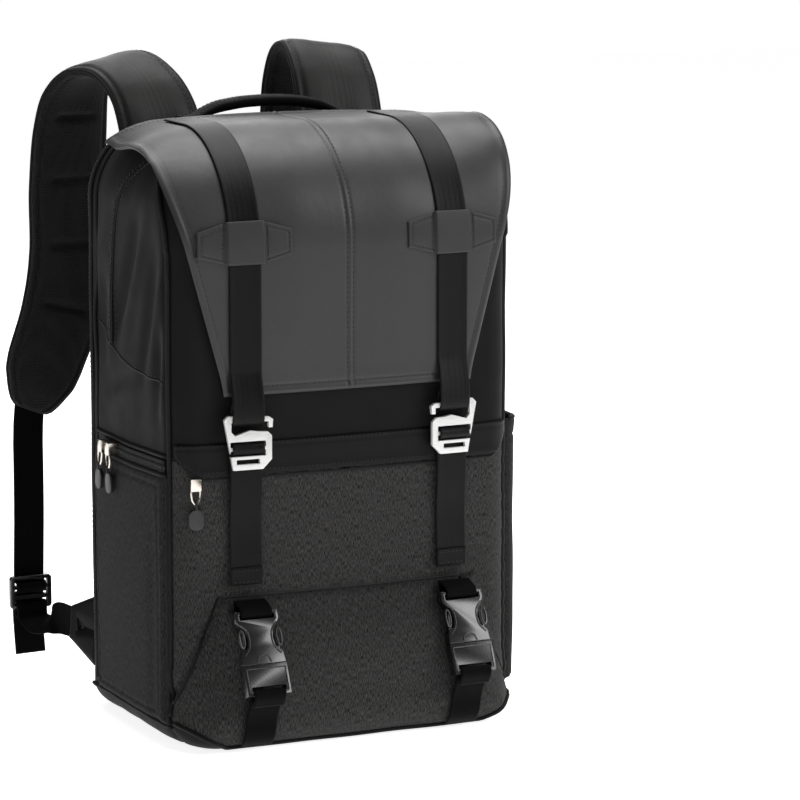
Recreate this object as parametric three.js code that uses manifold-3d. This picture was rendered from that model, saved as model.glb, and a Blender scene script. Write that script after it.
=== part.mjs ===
// A flap-top camera backpack, about 30 cm wide, 45 cm tall and 18 cm deep, standing on its base.
// Millimetres, +Z up. The front faces -Y and the wearer's back is at +Y, so -X is the side with the
// zipped access door. The origin is on the flat underside, in the middle of the bag.
import * as THREE from 'three';
import { mergeVertices } from 'three/addons/utils/BufferGeometryUtils.js';
import Module from 'manifold-3d';

const wasm = await Module();
wasm.setup();

const GAP = 0.3; // clearance between pieces that touch on the real bag
const SLACK = 0.55; // clearance where webbing goes round metal or plastic

// The bag's body: outer sizes and edge radii.
const BAG = {
  width: 277, depth: 176, height: 446, wall: 5,
  topCorner: 52, baseCorner: 18, frontTop: 78, frontBase: 26, backEdge: 16,
  planFront: 22, planFrontTop: 12, planBack: 12, crown: 5, sideCrown: 3,
};
// Heights and depths of the seams between its panels.
const SEAM = {
  front: 12, strip: 12, gusset: BAG.depth / 2 - 27, back: BAG.depth / 2 - 8, base: 16, baseFront: 3.5,
  doorTop: 204, sideTop: 218, frontTop: 216,
};
// The lower pocket swells out of the front inside a trapezoid of seams.
const POCKET = {
  top: 113, topHalf: BAG.width / 2 - 38.5, footHalf: BAG.width / 2 + 3.5, foot: 16,
  swell: 28, rampDown: 58, rampSide: 30,
};
const DOOR = { proud: 6, corner: 20, foot: 17 };
const SLIP = {
  proud: 13, wall: 2.5, front: 16 - BAG.depth / 2, back: BAG.depth / 2 - 36, foot: 22, top: 226,
};
const BAND = {
  foot: 204, top: 228, half: BAG.width / 2 - 1, cut: 12, thick: 1.6, pull: 16.5 - BAG.width / 2,
};
// The piping's two ends, and the zip round the back behind the gusset's seam.
const TRIM = { foot: 24, top: BAG.height - 94, coilOff: 10, coilWide: 4 };
const FLAP = {
  back: BAG.depth / 2 - 43, end: 262.5, thick: 2.6, lift: 1.6,
  half: BAG.width / 2 + 4.5, droop: 13, droopFrom: BAG.width / 2 - 42.5,
};
const WEB = { width: 25, thick: 1.5, x: 83.5 };
const KEEPER = { z: 373.5, half: 37, band: 14.5, height: 29, thick: 1.6, shoulder: 15, tip: 9 };
const HOOK = {
  foot: 208.5, plateTop: 236, top: 249, half: 18.5, thick: 3, bar: 3.4, arm: 5.5,
  slotHalf: 13.8, slotFoot: 218.5, slotTop: 229.5, smallHalf: 9, smallFoot: 212.6, smallTop: 216.2,
  gate: 6.5, chamfer: 7,
};
const TAIL = { end: 121, anchor: 197 };
const BUCKLE = {
  width: 34, thick: 9, socket: 40, base: 23, tilt: 25, top: 104, rest: 80, waist: 10,
  arm: 3.2, tongue: 14, bar: 2.6, slot: 3.8, lift: 1.2,
};
const BASE_WEB = { under: 3.6, foot: 26, off: 1.4 };
const HANDLE = { half: 56, sewn: 14, y: BAG.depth / 2 - 28, rise: 13, width: 21, thick: 8.5 };
const STRAP = { thick: 12, web: 25, webThick: 1.5, steps: 18 };
const LOCK = {
  width: 34, height: 26, thick: 4.5, slot: 4.5, bar: 3, side: 3.6,
  x: [-22.5 - BAG.width / 2, BAG.width / 2 - 12.5], y: BAG.depth / 2 + 72, z: 74,
};
const RING = { half: 13, wire: 3.2, height: 20, row: 8.2 };
const STERNUM = { row: 9.6, width: 20, thick: 1.5, scale: 0.8, x: -18, off: 9 };
const SLEEVE = { foot: 196, top: 262, half: BAG.width / 2 - 16.5, thick: 2.4, off: 6 };
const PAD = {
  thick: 7, foot: 26, low: 190, high: 268, top: 384, half: BAG.width / 2 - 20.5, corner: 26, ease: 2.5,
};
const PULL = {
  slider: [8, 9], bail: 3.6, drop: 16, wire: 1.6, link: 3.4, tab: 15, tabHalf: 5.6, thick: 2.6, clear: 3,
};

// Shoulder straps: one row for each section, from the root on the back to the lower tip.
// y is its distance behind the bag's back, turn how far its width is turned about Z, in degrees, and
// lean how far that width is tipped.
const STRAP_LEFT = [
  { x: -70, y: 6.4, z: 392, width: 66, turn: 0, lean: 0 },
  { x: -70, y: 9, z: 424, width: 66, turn: 0, lean: 0 },
  { x: -73, y: 15, z: 452, width: 66, turn: 4, lean: 2 },
  { x: -80, y: 26, z: 474, width: 66, turn: 14, lean: 6 },
  { x: -91, y: 44, z: 488, width: 66, turn: 24, lean: 10 },
  { x: -104, y: 63, z: 485, width: 66, turn: 26, lean: 8 },
  { x: -114, y: 76, z: 467, width: 66, turn: 22, lean: 4 },
  { x: -118, y: 82, z: 436, width: 66, turn: 14, lean: 0 },
  { x: -119, y: 85, z: 388, width: 67, turn: 8, lean: 0 },
  { x: -119, y: 85, z: 338, width: 67, turn: 6, lean: -2 },
  { x: -127, y: 83, z: 294, width: 66, turn: 4, lean: -14 },
  { x: -143, y: 79, z: 254, width: 62, turn: 2, lean: -20 },
  { x: -157, y: 76, z: 219, width: 50, turn: 0, lean: -14 },
];
const STRAP_RIGHT = [
  { x: 80, y: 6.4, z: 392, width: 70, turn: 0, lean: 0 },
  { x: 80, y: 9, z: 424, width: 70, turn: 0, lean: 0 },
  { x: 80, y: 15, z: 454, width: 70, turn: 0, lean: -3 },
  { x: 80, y: 27, z: 479, width: 70, turn: 0, lean: -7 },
  { x: 80, y: 46, z: 495, width: 70, turn: 0, lean: -8 },
  { x: 80, y: 65, z: 490, width: 69, turn: 0, lean: -6 },
  { x: 79, y: 78, z: 469, width: 68, turn: 0, lean: -3 },
  { x: 78, y: 83, z: 436, width: 67, turn: 0, lean: 0 },
  { x: 77, y: 85, z: 388, width: 67, turn: 0, lean: 0 },
  { x: 80, y: 85, z: 338, width: 67, turn: 0, lean: 4 },
  { x: 91, y: 83, z: 294, width: 66, turn: 0, lean: 15 },
  { x: 107, y: 79, z: 254, width: 62, turn: 0, lean: 19 },
  { x: 120, y: 76, z: 219, width: 50, turn: 0, lean: 13 },
];
// The soft folds of the left upper side, each from its top (y, z) to its foot.
const FOLDS = [
  { y0: -34, z0: 404, y1: 22, z1: 284, depth: 4, wide: 9 },
  { y0: -62, z0: 372, y1: -30, z1: 262, depth: 3.4, wide: 8 },
  { y0: 40, z0: 352, y1: 46, z1: 262, depth: 2.2, wide: 9 },
];

const deg = THREE.MathUtils.degToRad;
const lerp = THREE.MathUtils.lerp;
const clamp = THREE.MathUtils.clamp;
const vec = (x, y, z) => new THREE.Vector3(x, y, z);
const half = BAG.width / 2;
const front = -BAG.depth / 2;
const back = BAG.depth / 2;

const FINISH = {
  twill: { color: 0x222124, roughness: 0.55 },
  coated: { color: 0x424243, roughness: 0.45 },
  heather: { color: 0x353436, roughness: 0.9 },
  webbing: { color: 0x1c1c1c, roughness: 0.65 },
  plastic: { color: 0x18181a, roughness: 0.35 },
  alloy: { color: 0xe9e9e9, roughness: 0.35, metalness: 0.6 },
  steel: { color: 0xb9aea2, roughness: 0.25, metalness: 1 },
  mesh: { color: 0x171717, roughness: 0.95 },
  leather: { color: 0x404041, roughness: 0.5 },
};

function finish(name) {
  return new THREE.MeshStandardMaterial(FINISH[name]);
}

// A geometry's vertices merged into one closed mesh, as a solid.
function solidOf(geometry) {
  const plain = new THREE.BufferGeometry();
  plain.setAttribute('position', (geometry.index ? geometry.toNonIndexed() : geometry).getAttribute('position'));
  const merged = mergeVertices(plain, 1e-4);
  const made = new wasm.Manifold(new wasm.Mesh({
    numProp: 3,
    vertProperties: new Float32Array(merged.getAttribute('position').array),
    triVerts: new Uint32Array(merged.index.array),
  }));
  return made;
}

function geometryOf(solid) {
  const mesh = solid.getMesh();
  const geometry = new THREE.BufferGeometry();
  geometry.setAttribute('position', new THREE.BufferAttribute(new Float32Array(mesh.vertProperties), 3));
  geometry.setIndex(new THREE.BufferAttribute(new Uint32Array(mesh.triVerts), 1));
  geometry.computeVertexNormals();
  return geometry;
}

// The solid's largest connected piece, which drops slivers that a cut leaves behind.
function largest(solid) {
  return solid.decompose().reduce((a, b) => (b.volume() > a.volume() ? b : a));
}

function meshOf(name, shape, finishName) {
  const geometry = shape.isBufferGeometry ? shape : geometryOf(largest(shape));
  const mesh = new THREE.Mesh(geometry, finish(finishName));
  mesh.name = name;
  return mesh;
}

// Turns every face of a closed geometry outward.
function facingOut(points, faces) {
  let volume = 0;
  for (const [a, b, c] of faces) {
    volume += points[a].dot(vec().crossVectors(points[b], points[c]));
  }
  const geometry = new THREE.BufferGeometry().setFromPoints(points);
  geometry.setIndex(faces.flatMap(([a, b, c]) => (volume < 0 ? [a, c, b] : [a, b, c])));
  geometry.computeVertexNormals();
  return geometry;
}

// A loft through closed rings of equal count, capped at both ends unless the row of rings is a loop.
function loft(rings, loop = false) {
  const count = rings[0].length;
  const points = rings.flat();
  const faces = [];
  const last = loop ? rings.length : rings.length - 1;
  for (let i = 0; i < last; i += 1) {
    const low = i * count;
    const high = ((i + 1) % rings.length) * count;
    for (let j = 0; j < count; j += 1) {
      const next = (j + 1) % count;
      faces.push([low + j, low + next, high + next], [low + j, high + next, high + j]);
    }
  }
  if (!loop) {
    for (const [ring, start, turned] of [[rings[0], 0, true], [rings.at(-1), (rings.length - 1) * count, false]]) {
      const centre = points.length;
      points.push(ring.reduce((sum, p) => sum.add(p), vec(0, 0, 0)).divideScalar(count));
      for (let j = 0; j < count; j += 1) {
        const next = start + ((j + 1) % count);
        faces.push(turned ? [centre, next, start + j] : [centre, start + j, next]);
      }
    }
  }
  return facingOut(points, faces);
}

// A closed sheet between two grids of points that share their rows and columns.
function sheet(outer, inner) {
  const rings = outer.map((row, i) => [...row, ...inner[i].slice().reverse()]);
  const columns = outer[0].length;
  const count = columns * 2;
  const points = rings.flat();
  const faces = [];
  for (let i = 0; i < rings.length - 1; i += 1) {
    for (let j = 0; j < count; j += 1) {
      const next = (j + 1) % count;
      const low = i * count;
      const high = low + count;
      faces.push([low + j, low + next, high + next], [low + j, high + next, high + j]);
    }
  }
  for (const [start, turned] of [[0, true], [(rings.length - 1) * count, false]]) {
    for (let j = 0; j < columns - 1; j += 1) {
      const a = start + j;
      const b = start + j + 1;
      const c = start + count - 2 - j;
      const d = start + count - 1 - j;
      faces.push(...(turned ? [[a, c, b], [a, d, c]] : [[a, b, c], [a, c, d]]));
    }
  }
  return facingOut(points, faces);
}

// An outline's points with no two in one place.
function outlineOf(path, curveSegments) {
  const points = path.getPoints(curveSegments);
  const kept = points.filter((p, i) => i === 0 || p.distanceTo(points[i - 1]) > 1e-3);
  while (kept.length > 1 && kept[0].distanceTo(kept.at(-1)) < 1e-3) {
    kept.pop();
  }
  return kept;
}

function extrude(shape, depth, curveSegments = 4) {
  const clean = new THREE.Shape(outlineOf(shape, curveSegments));
  return new THREE.ExtrudeGeometry(clean, { depth, steps: 1, bevelEnabled: false });
}

// A prism whose outline is drawn in (x, z) and that runs along Y.
function prismAlongY(shape, from, to) {
  return solidOf(extrude(shape, to - from).rotateX(Math.PI / 2).translate(0, to, 0));
}

// A prism whose outline is drawn in (y, z) and that runs along X.
function prismAlongX(shape, from, to) {
  const geometry = extrude(shape, to - from);
  geometry.applyMatrix4(new THREE.Matrix4().makeBasis(vec(0, 1, 0), vec(0, 0, 1), vec(1, 0, 0)));
  return solidOf(geometry.translate(from, 0, 0));
}

function box(low, high) {
  const size = high.map((value, k) => value - low[k]);
  const middle = high.map((value, k) => (value + low[k]) / 2);
  return solidOf(new THREE.BoxGeometry(...size).translate(...middle));
}

function polygon(points) {
  return new THREE.Shape(points.map(([a, b]) => new THREE.Vector2(a, b)));
}

function roundedRect(x0, y0, x1, y1, radius) {
  const shape = new THREE.Shape();
  shape.moveTo(x0 + radius, y0);
  shape.lineTo(x1 - radius, y0);
  shape.absarc(x1 - radius, y0 + radius, radius, -Math.PI / 2, 0);
  shape.lineTo(x1, y1 - radius);
  shape.absarc(x1 - radius, y1 - radius, radius, 0, Math.PI / 2);
  shape.lineTo(x0 + radius, y1);
  shape.absarc(x0 + radius, y1 - radius, radius, Math.PI / 2, Math.PI);
  shape.lineTo(x0, y0 + radius);
  shape.absarc(x0 + radius, y0 + radius, radius, Math.PI, 1.5 * Math.PI);
  return shape;
}

// How far a rounded edge of that radius has drawn in, at a depth below its end.
function drawIn(radius, below) {
  return below >= radius ? 0 : radius - Math.sqrt(Math.max(0, radius ** 2 - (radius - below) ** 2));
}

function halfWidthAt(z) {
  return half - drawIn(BAG.topCorner, BAG.height - z) - drawIn(BAG.baseCorner, z);
}

function frontAt(z) {
  return front + drawIn(BAG.frontTop, BAG.height - z) + drawIn(BAG.frontBase, z);
}

function backAt(z) {
  return back - drawIn(BAG.backEdge, BAG.height - z) - drawIn(BAG.backEdge, z);
}

// How far the lower pocket swells forward at a point of the front.
function swellAt(x, z) {
  const rise = POCKET.top - POCKET.foot;
  const run = POCKET.footHalf - POCKET.topHalf;
  const edge = POCKET.topHalf + (run * (POCKET.top - z)) / rise;
  const inside = ((edge - Math.abs(x)) * rise) / Math.hypot(rise, run);
  const share = Math.min((POCKET.top - z) / POCKET.rampDown, inside / POCKET.rampSide, 1);
  return share <= 0 ? 0 : POCKET.swell * Math.sin((share * Math.PI) / 2);
}

// The crown of the front and the top: fullest in the middle, nothing at the sides.
function crownAt(x) {
  return BAG.crown * Math.max(0, 1 - (x / half) ** 2);
}

// How deep the left upper side is folded in at a place on it.
function foldAt(y, z) {
  return FOLDS.reduce((sum, f) => {
    const run = Math.hypot(f.y1 - f.y0, f.z1 - f.z0);
    const along = ((y - f.y0) * (f.y1 - f.y0) + (z - f.z0) * (f.z1 - f.z0)) / run ** 2;
    const away = ((y - f.y0) * (f.z1 - f.z0) - (z - f.z0) * (f.y1 - f.y0)) / run / f.wide;
    const fade = Math.sin(Math.PI * clamp(along, 0, 1));
    return sum + f.depth * fade * (Math.exp(-(away ** 2)) - 0.55 * Math.exp(-((away - 1.7) ** 2)));
  }, 0);
}

// A height for a level from 0 to 3: base edge, straight wall, top edge.
function heightAt(level) {
  if (level < 1) {
    return BAG.frontBase * (1 - Math.cos((level * Math.PI) / 2));
  }
  if (level < 2) {
    return lerp(BAG.frontBase, BAG.height - BAG.frontTop, level - 1);
  }
  return BAG.height - BAG.frontTop + BAG.frontTop * Math.sin(((level - 2) * Math.PI) / 2);
}

// The body's outer surface. turn runs round the plan from -5 to 5 and is 0 at the front's middle:
// 1 and 2 are the front corner's ends, 3 and 4 the back corner's, and 5 the back's middle.
function bodyPoint(turn, level) {
  const z = heightAt(level);
  const side = Math.sign(turn) || 1;
  const t = Math.abs(turn);
  const wide = halfWidthAt(z);
  const near = frontAt(z);
  const far = backAt(z);
  const plan = lerp(BAG.planFront, BAG.planFrontTop, clamp((level - 2.4) / 0.6, 0, 1));
  const angle = ((t % 1) * Math.PI) / 2;
  let x = 0;
  let y = 0;
  if (t <= 1) {
    x = t * (wide - plan);
    y = near;
  } else if (t <= 2) {
    const a = ((t - 1) * Math.PI) / 2;
    x = wide - plan + plan * Math.sin(a);
    y = near + plan - plan * Math.cos(a);
  } else if (t <= 3) {
    x = wide + BAG.sideCrown * Math.sin((t - 2) * Math.PI) * Math.sin((clamp(z / BAG.height, 0, 1)) * Math.PI);
    y = lerp(near + plan, far - BAG.planBack, t - 2);
  } else if (t <= 4) {
    x = wide - BAG.planBack + BAG.planBack * Math.cos(angle);
    y = far - BAG.planBack + BAG.planBack * Math.sin(angle);
    if (t === 4) {
      x = wide - BAG.planBack;
      y = far;
    }
  } else {
    x = (wide - BAG.planBack) * (5 - t);
    y = far;
  }
  const point = vec(side * x, y, z);
  const lift = crownAt(x) * Math.min(level, 1);
  const rise = (Math.max(level - 2, 0) * Math.PI) / 2;
  point.z += lift * Math.sin(rise);
  if (t < 2) {
    const swell = swellAt(x, z) * (t <= 1 ? 1 : Math.cos(((t - 1) * Math.PI) / 2));
    point.y -= lift * Math.cos(rise) + swell;
  }
  return point;
}

function levelOf(z) {
  return 1 + (z - BAG.frontBase) / (BAG.height - BAG.frontTop - BAG.frontBase);
}

// Where the body's outline is sampled: round the plan on each side, and up the height.
const TOP_LEVELS = [2, 2.2, 2.4, 2.6, 2.76, 2.9, 3];
const GRID = {
  full: {
    left: [0, 0.22, 0.42, 0.58, 0.72, 0.86, 1, 1.35, 1.7, 2, 2.33, 2.67, 3, 3.5, 4, 5],
    right: [0, 0.22, 0.42, 0.58, 0.72, 0.86, 1, 1.35, 1.7, 2, 2.33, 2.67, 3, 3.5, 4, 5],
    levels: [0, 0.4, 0.75, 1, ...[44, 58, 72, 86, 100, POCKET.top, 150].map(levelOf), 1.7, ...TOP_LEVELS],
  },
  plain: {
    left: [0, 0.5, 0.8, 1, 1.5, 2, 2.5, 3, 3.5, 4, 5],
    right: [0, 0.5, 0.8, 1, 1.5, 2, 2.5, 3, 3.5, 4, 5],
    levels: [0, 0.5, 1, ...[58, 84, POCKET.top].map(levelOf), 2, 2.25, 2.5, 2.75, 3],
  },
  folded: {
    left: [0, 1, 1.5, 2, 2.12, 2.25, 2.37, 2.5, 2.62, 2.75, 2.88, 3, 3.5, 4, 5],
    right: [0, 1, 1.5, 2, 3, 4, 5],
    levels: [0, 0.5, 1, ...[200, 230, 254, 272, 290, 308, 326, 346].map(levelOf), ...TOP_LEVELS],
  },
};

// The body's outline as a closed solid, grown outward by that much.
function bodySolid(grow, kind = grow < 0 ? 'plain' : 'full') {
  const grid = GRID[kind];
  const folded = kind === 'folded';
  const turns = [...grid.left.slice(1, -1).reverse().map((t) => -t), ...grid.right];
  const step = 1e-3;
  const wrapped = (value) => (value > 5 ? value - 10 : value);
  const rings = grid.levels.map((level) => turns.map((turn) => {
    const low = clamp(level - step, 0, 3);
    const high = clamp(level + step, 0, 3);
    const up = bodyPoint(turn, high).sub(bodyPoint(turn, low));
    const along = bodyPoint(wrapped(turn + step), level).sub(bodyPoint(turn - step, level));
    const out = vec().crossVectors(along, up).normalize();
    const point = bodyPoint(turn, level);
    const dent = folded && turn < -1.9 && turn > -3.1 ? foldAt(point.y, point.z) : 0;
    return point.addScaledVector(out, grow - dent);
  }));
  rings[0].forEach((point) => {
    point.z = -grow;
  });
  return solidOf(loft(rings));
}

// The panels of the body are one wall, cut apart along the seams.
function bodyPanels() {
  const outer = bodySolid(0);
  const wall = outer.subtract(bodySolid(-BAG.wall));
  const far = BAG.width;
  const high = BAG.height + BAG.width;
  const line = front + SEAM.front;
  const bend = BAG.height - BAG.frontTop;
  const inset = BAG.frontTop - SEAM.strip;
  const roof = bend + inset;
  const stripShape = (gap) => {
    const shape = new THREE.Shape();
    shape.moveTo(-far, SEAM.frontTop + GAP / 2);
    shape.lineTo(line - gap, SEAM.frontTop + GAP / 2);
    shape.lineTo(line - gap, bend);
    shape.absarc(line + inset - gap, bend + gap, inset, Math.PI, Math.PI / 2, true);
    shape.lineTo(SEAM.gusset - GAP / 2, roof + gap);
    shape.lineTo(SEAM.gusset - GAP / 2, high);
    shape.lineTo(-far, high);
    return shape;
  };
  const sideShape = (foot) => {
    const shape = new THREE.Shape();
    shape.moveTo(line + GAP / 2, foot);
    shape.lineTo(SEAM.gusset - GAP / 2, foot);
    shape.lineTo(SEAM.gusset - GAP / 2, roof - GAP / 2);
    shape.absarc(line + inset + GAP / 2, bend - GAP / 2, inset, Math.PI / 2, Math.PI, false);
    return shape;
  };
  const strip = wall.intersect(prismAlongX(stripShape(GAP / 2), -far, far));
  const upperLeft = bodySolid(0, 'folded').subtract(bodySolid(-BAG.wall))
    .intersect(prismAlongX(sideShape(SEAM.sideTop + GAP / 2), -far, 0));
  const upperRight = wall.intersect(prismAlongX(sideShape(SEAM.sideTop + GAP / 2), 0, far));
  const lowerRight = wall.intersect(
    box([0, line + GAP / 2, SEAM.base + GAP / 2], [far, SEAM.gusset - GAP / 2, SEAM.sideTop - GAP / 2]),
  );
  const frontBase = polygon([
    [-far, -far], [far, -far], [far, SEAM.base], [half - 10, SEAM.base], [half - 34, SEAM.baseFront],
    [34 - half, SEAM.baseFront], [10 - half, SEAM.base], [-far, SEAM.base],
  ]);
  const baseRegion = box([-far, line + GAP / 2, -far], [far, SEAM.back - GAP, SEAM.base - GAP / 2])
    .add(prismAlongY(frontBase, -far, line + GAP));
  const lower = wall
    .intersect(box([-far, -far, -far], [far, line - GAP / 2, SEAM.frontTop - GAP / 2]))
    .subtract(prismAlongY(frontBase, -far, line).translate([0, 0, GAP]));
  const gusset = wall.intersect(
    box([-far, SEAM.gusset + GAP / 2, SEAM.base + GAP / 2], [far, SEAM.back - GAP, high]),
  );
  const backBoard = outer.intersect(box([-far, SEAM.back, -far], [far, far, high]));
  return [
    meshOf('front_panel_upper', strip, 'twill'),
    meshOf('front_panel_lower', lower, 'heather'),
    meshOf('side_panel_left', upperLeft, 'twill'),
    meshOf('side_panel_right', upperRight, 'twill'),
    meshOf('side_panel_right_lower', lowerRight, 'heather'),
    meshOf('base_panel', wall.intersect(baseRegion), 'twill'),
    meshOf('zip_gusset', gusset, 'twill'),
    meshOf('back_board', backBoard, 'mesh'),
  ];
}

// The padded access door on the left, proud of the side, and the zip tape above it.
function door() {
  const foot = DOOR.foot;
  const shape = new THREE.Shape();
  const low = front + SEAM.front + GAP / 2;
  const high = SEAM.gusset - GAP / 2;
  const top = SEAM.doorTop - GAP / 2;
  shape.moveTo(low, foot);
  shape.lineTo(high, foot);
  shape.lineTo(high, top - DOOR.corner);
  shape.absarc(high - DOOR.corner, top - DOOR.corner, DOOR.corner, 0, Math.PI / 2);
  shape.lineTo(low, top);
  const inner = bodySolid(-BAG.wall);
  const leaf = bodySolid(DOOR.proud).subtract(inner).intersect(prismAlongX(shape, -BAG.width, 0));
  const around = box(
    [-BAG.width, low, SEAM.base + GAP / 2],
    [0, high, SEAM.sideTop - GAP / 2],
  ).subtract(prismAlongX(shape, -BAG.width, 0));
  const grown = new THREE.Shape();
  const corner = DOOR.corner + GAP;
  grown.moveTo(low - GAP, 0);
  grown.lineTo(high + GAP, 0);
  grown.lineTo(high + GAP, top - DOOR.corner);
  grown.absarc(high - DOOR.corner, top - DOOR.corner, corner, 0, Math.PI / 2);
  grown.lineTo(low - GAP, top + GAP);
  const tape = bodySolid(1).subtract(inner).intersect(around)
    .subtract(prismAlongX(grown, -BAG.width, 0));
  return [meshOf('access_door', leaf, 'heather'), meshOf('door_zip_tape', tape, 'webbing')];
}

// The slip pocket on the right: a sheet that stands off the side wall, open at its top.
function slipPocket() {
  const region = (grow) => roundedRect(
    SLIP.front + SLIP.wall - grow, SLIP.foot + SLIP.wall - grow,
    SLIP.back - SLIP.wall + grow, SLIP.top + 40, 6,
  );
  const far = BAG.width;
  const cut = box([0, -far, SLIP.top], [far, far, 2 * far]);
  const outside = bodySolid(SLIP.proud).intersect(prismAlongX(region(SLIP.wall), 0, far)).subtract(cut);
  const inside = bodySolid(SLIP.proud - SLIP.wall).intersect(prismAlongX(region(0), 0, far));
  const pocket = outside.subtract(inside).subtract(bodySolid(GAP));
  return [meshOf('slip_pocket', pocket, 'heather')];
}

// The black band across the front, above the pocket's zip.
function band() {
  const shape = polygon([
    [-BAND.half, BAND.top], [-BAND.half, BAND.foot + 20], [BAND.cut - BAND.half, BAND.foot],
    [BAND.half - BAND.cut, BAND.foot], [BAND.half, BAND.foot + 20], [BAND.half, BAND.top],
  ]);
  const region = prismAlongY(shape, -BAG.depth, front + SEAM.front - 2 - GAP);
  const strip = bodySolid(GAP + BAND.thick).subtract(bodySolid(GAP)).intersect(region);
  return [meshOf('front_band', strip, 'webbing')];
}

// Piping down the two front seams, and the coil of the zip round the back.
function trims() {
  const skin = bodySolid(GAP + 1.8).subtract(bodySolid(GAP));
  const line = front + SEAM.front;
  const seam = (low, high, from, to) => skin.intersect(
    box([low, line - 2, from], [high, line + 1.6, to]),
  );
  const leftCut = bodySolid(DOOR.proud + GAP).subtract(bodySolid(-1))
    .intersect(box([-BAG.width, line, 0], [0, BAG.depth, SEAM.doorTop + GAP]));
  const far = BAG.width;
  const tape = box([-BAG.width, line, SEAM.doorTop - 1], [0, BAG.depth, SEAM.sideTop + GAP]);
  const slip = box([0, SLIP.front - GAP, SLIP.foot - 1], [far, far, SLIP.top + 1]);
  const { foot: low, top } = TRIM;
  const coilFrom = SEAM.gusset + TRIM.coilOff;
  const coil = skin.intersect(box([-far, coilFrom, SEAM.base + 4], [far, coilFrom + TRIM.coilWide, far * 2]));
  return [
    meshOf('piping_left', seam(-far, 0, low, top).subtract(leftCut).subtract(tape), 'webbing'),
    meshOf('piping_right', seam(0, far, low, top).subtract(slip), 'webbing'),
    meshOf('back_zip', coil, 'webbing'),
  ];
}

// The path that the flap follows, back to front, as a distance from its back edge.
const FLAP_TOP = FLAP.back - (front + BAG.frontTop);
const FLAP_ARC = (BAG.frontTop * Math.PI) / 2;
const FLAP_DOWN = BAG.height - BAG.frontTop - FLAP.end;
const FLAP_LENGTH = FLAP_TOP + FLAP_ARC + FLAP_DOWN;

// A point over the top and front of the bag: x across, run along the path, lift off the body.
function overPoint(x, run, lift) {
  const off = lift + crownAt(x);
  const hub = front + BAG.frontTop;
  const bend = BAG.height - BAG.frontTop;
  if (run < FLAP_TOP) {
    return vec(x, FLAP.back - run, BAG.height + off);
  }
  if (run < FLAP_TOP + FLAP_ARC) {
    const a = (run - FLAP_TOP) / BAG.frontTop;
    const radius = BAG.frontTop + off;
    return vec(x, hub - radius * Math.sin(a), bend + radius * Math.cos(a));
  }
  return vec(x, front - off, bend - (run - FLAP_TOP - FLAP_ARC));
}

// Half the flap's width along its path: share of the path, and share of the full half width.
const FLAP_EDGE = [
  { at: 0, half: 0.955 }, { at: 0.12, half: 0.99 }, { at: 0.24, half: 1 }, { at: 0.4, half: 0.99 },
  { at: 0.5, half: 0.965 }, { at: 0.6, half: 0.905 }, { at: 1, half: 0.69 },
];

function tableValue(table, at, key) {
  const above = table.findIndex((row) => row.at >= at);
  if (above <= 0) {
    return above === 0 ? table[0][key] : table.at(-1)[key];
  }
  const [low, high] = [table[above - 1], table[above]];
  return lerp(low[key], high[key], (at - low.at) / (high.at - low.at));
}

const FLAP_ROWS = 18;

// How far the flap's ends hang, which is most on the top and nothing at the front.
function droopAt(x, share) {
  const beyond = Math.max(0, Math.abs(x) - FLAP.droopFrom) / (FLAP.half - FLAP.droopFrom);
  return FLAP.droop * beyond ** 2 * clamp(1.35 - 2.2 * share, 0, 1);
}

function flap() {
  const rows = FLAP_ROWS;
  const columns = 10;
  const grid = (lift) => Array.from({ length: rows + 1 }, (_, i) => {
    const share = i / rows;
    const wide = FLAP.half * tableValue(FLAP_EDGE, share, 'half');
    return Array.from({ length: columns + 1 }, (_unused, j) => {
      const x = wide * Math.sin(((2 * j) / columns - 1) * (Math.PI / 2));
      return overPoint(x, share * FLAP_LENGTH, lift - droopAt(x, share));
    });
  });
  const cloth = sheet(grid(FLAP.lift + FLAP.thick), grid(FLAP.lift));
  return [meshOf('flap', cloth, 'coated')];
}

// A flat band of webbing along points, with its width along one direction for each point.
function ribbon(points, across, width, thick) {
  const steps = points.slice(1).map((point, i) => point.clone().sub(points[i]).normalize());
  const rings = points.map((point, i) => {
    const before = steps[Math.max(i - 1, 0)];
    const after = steps[Math.min(i, steps.length - 1)];
    const along = before.clone().add(after).normalize();
    const mitre = 1 / Math.max(0.5, along.dot(after));
    const wide = (Array.isArray(across) ? across[i] : across).clone();
    wide.addScaledVector(along, -wide.dot(along)).normalize();
    const out = vec().crossVectors(along, wide).normalize();
    const a = (Array.isArray(width) ? width[i] : width) / 2;
    const b = (thick / 2) * mitre;
    const corner = (u, v) => point.clone().addScaledVector(wide, u * a).addScaledVector(out, v * b);
    return [corner(-1, -1), corner(1, -1), corner(1, 1), corner(-1, 1)];
  });
  return loft(rings);
}

const ACROSS = vec(1, 0, 0);
// The front leans outward at the webbing by this slope, and so do the pieces that lie on it.
const SLOPE = (-2 * BAG.crown * WEB.x) / half ** 2;
// Layers in front of the body at the webbing, from the body outwards.
const FACE = front - crownAt(WEB.x);
const LAYER = { anchor: FACE - GAP - BAND.thick - SLACK - WEB.thick / 2 };
LAYER.tail = LAYER.anchor - WEB.thick - GAP;
LAYER.hook = LAYER.tail - WEB.thick / 2 - SLACK - HOOK.thick / 2;
LAYER.over = LAYER.hook - HOOK.thick / 2 - SLACK - WEB.thick / 2;
LAYER.flap = FACE - FLAP.lift - FLAP.thick - GAP - WEB.thick / 2;

function sideName(side) {
  return side < 0 ? 'left' : 'right';
}

function frontAcross(side) {
  return vec(1, -side * SLOPE, 0).normalize();
}

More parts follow.
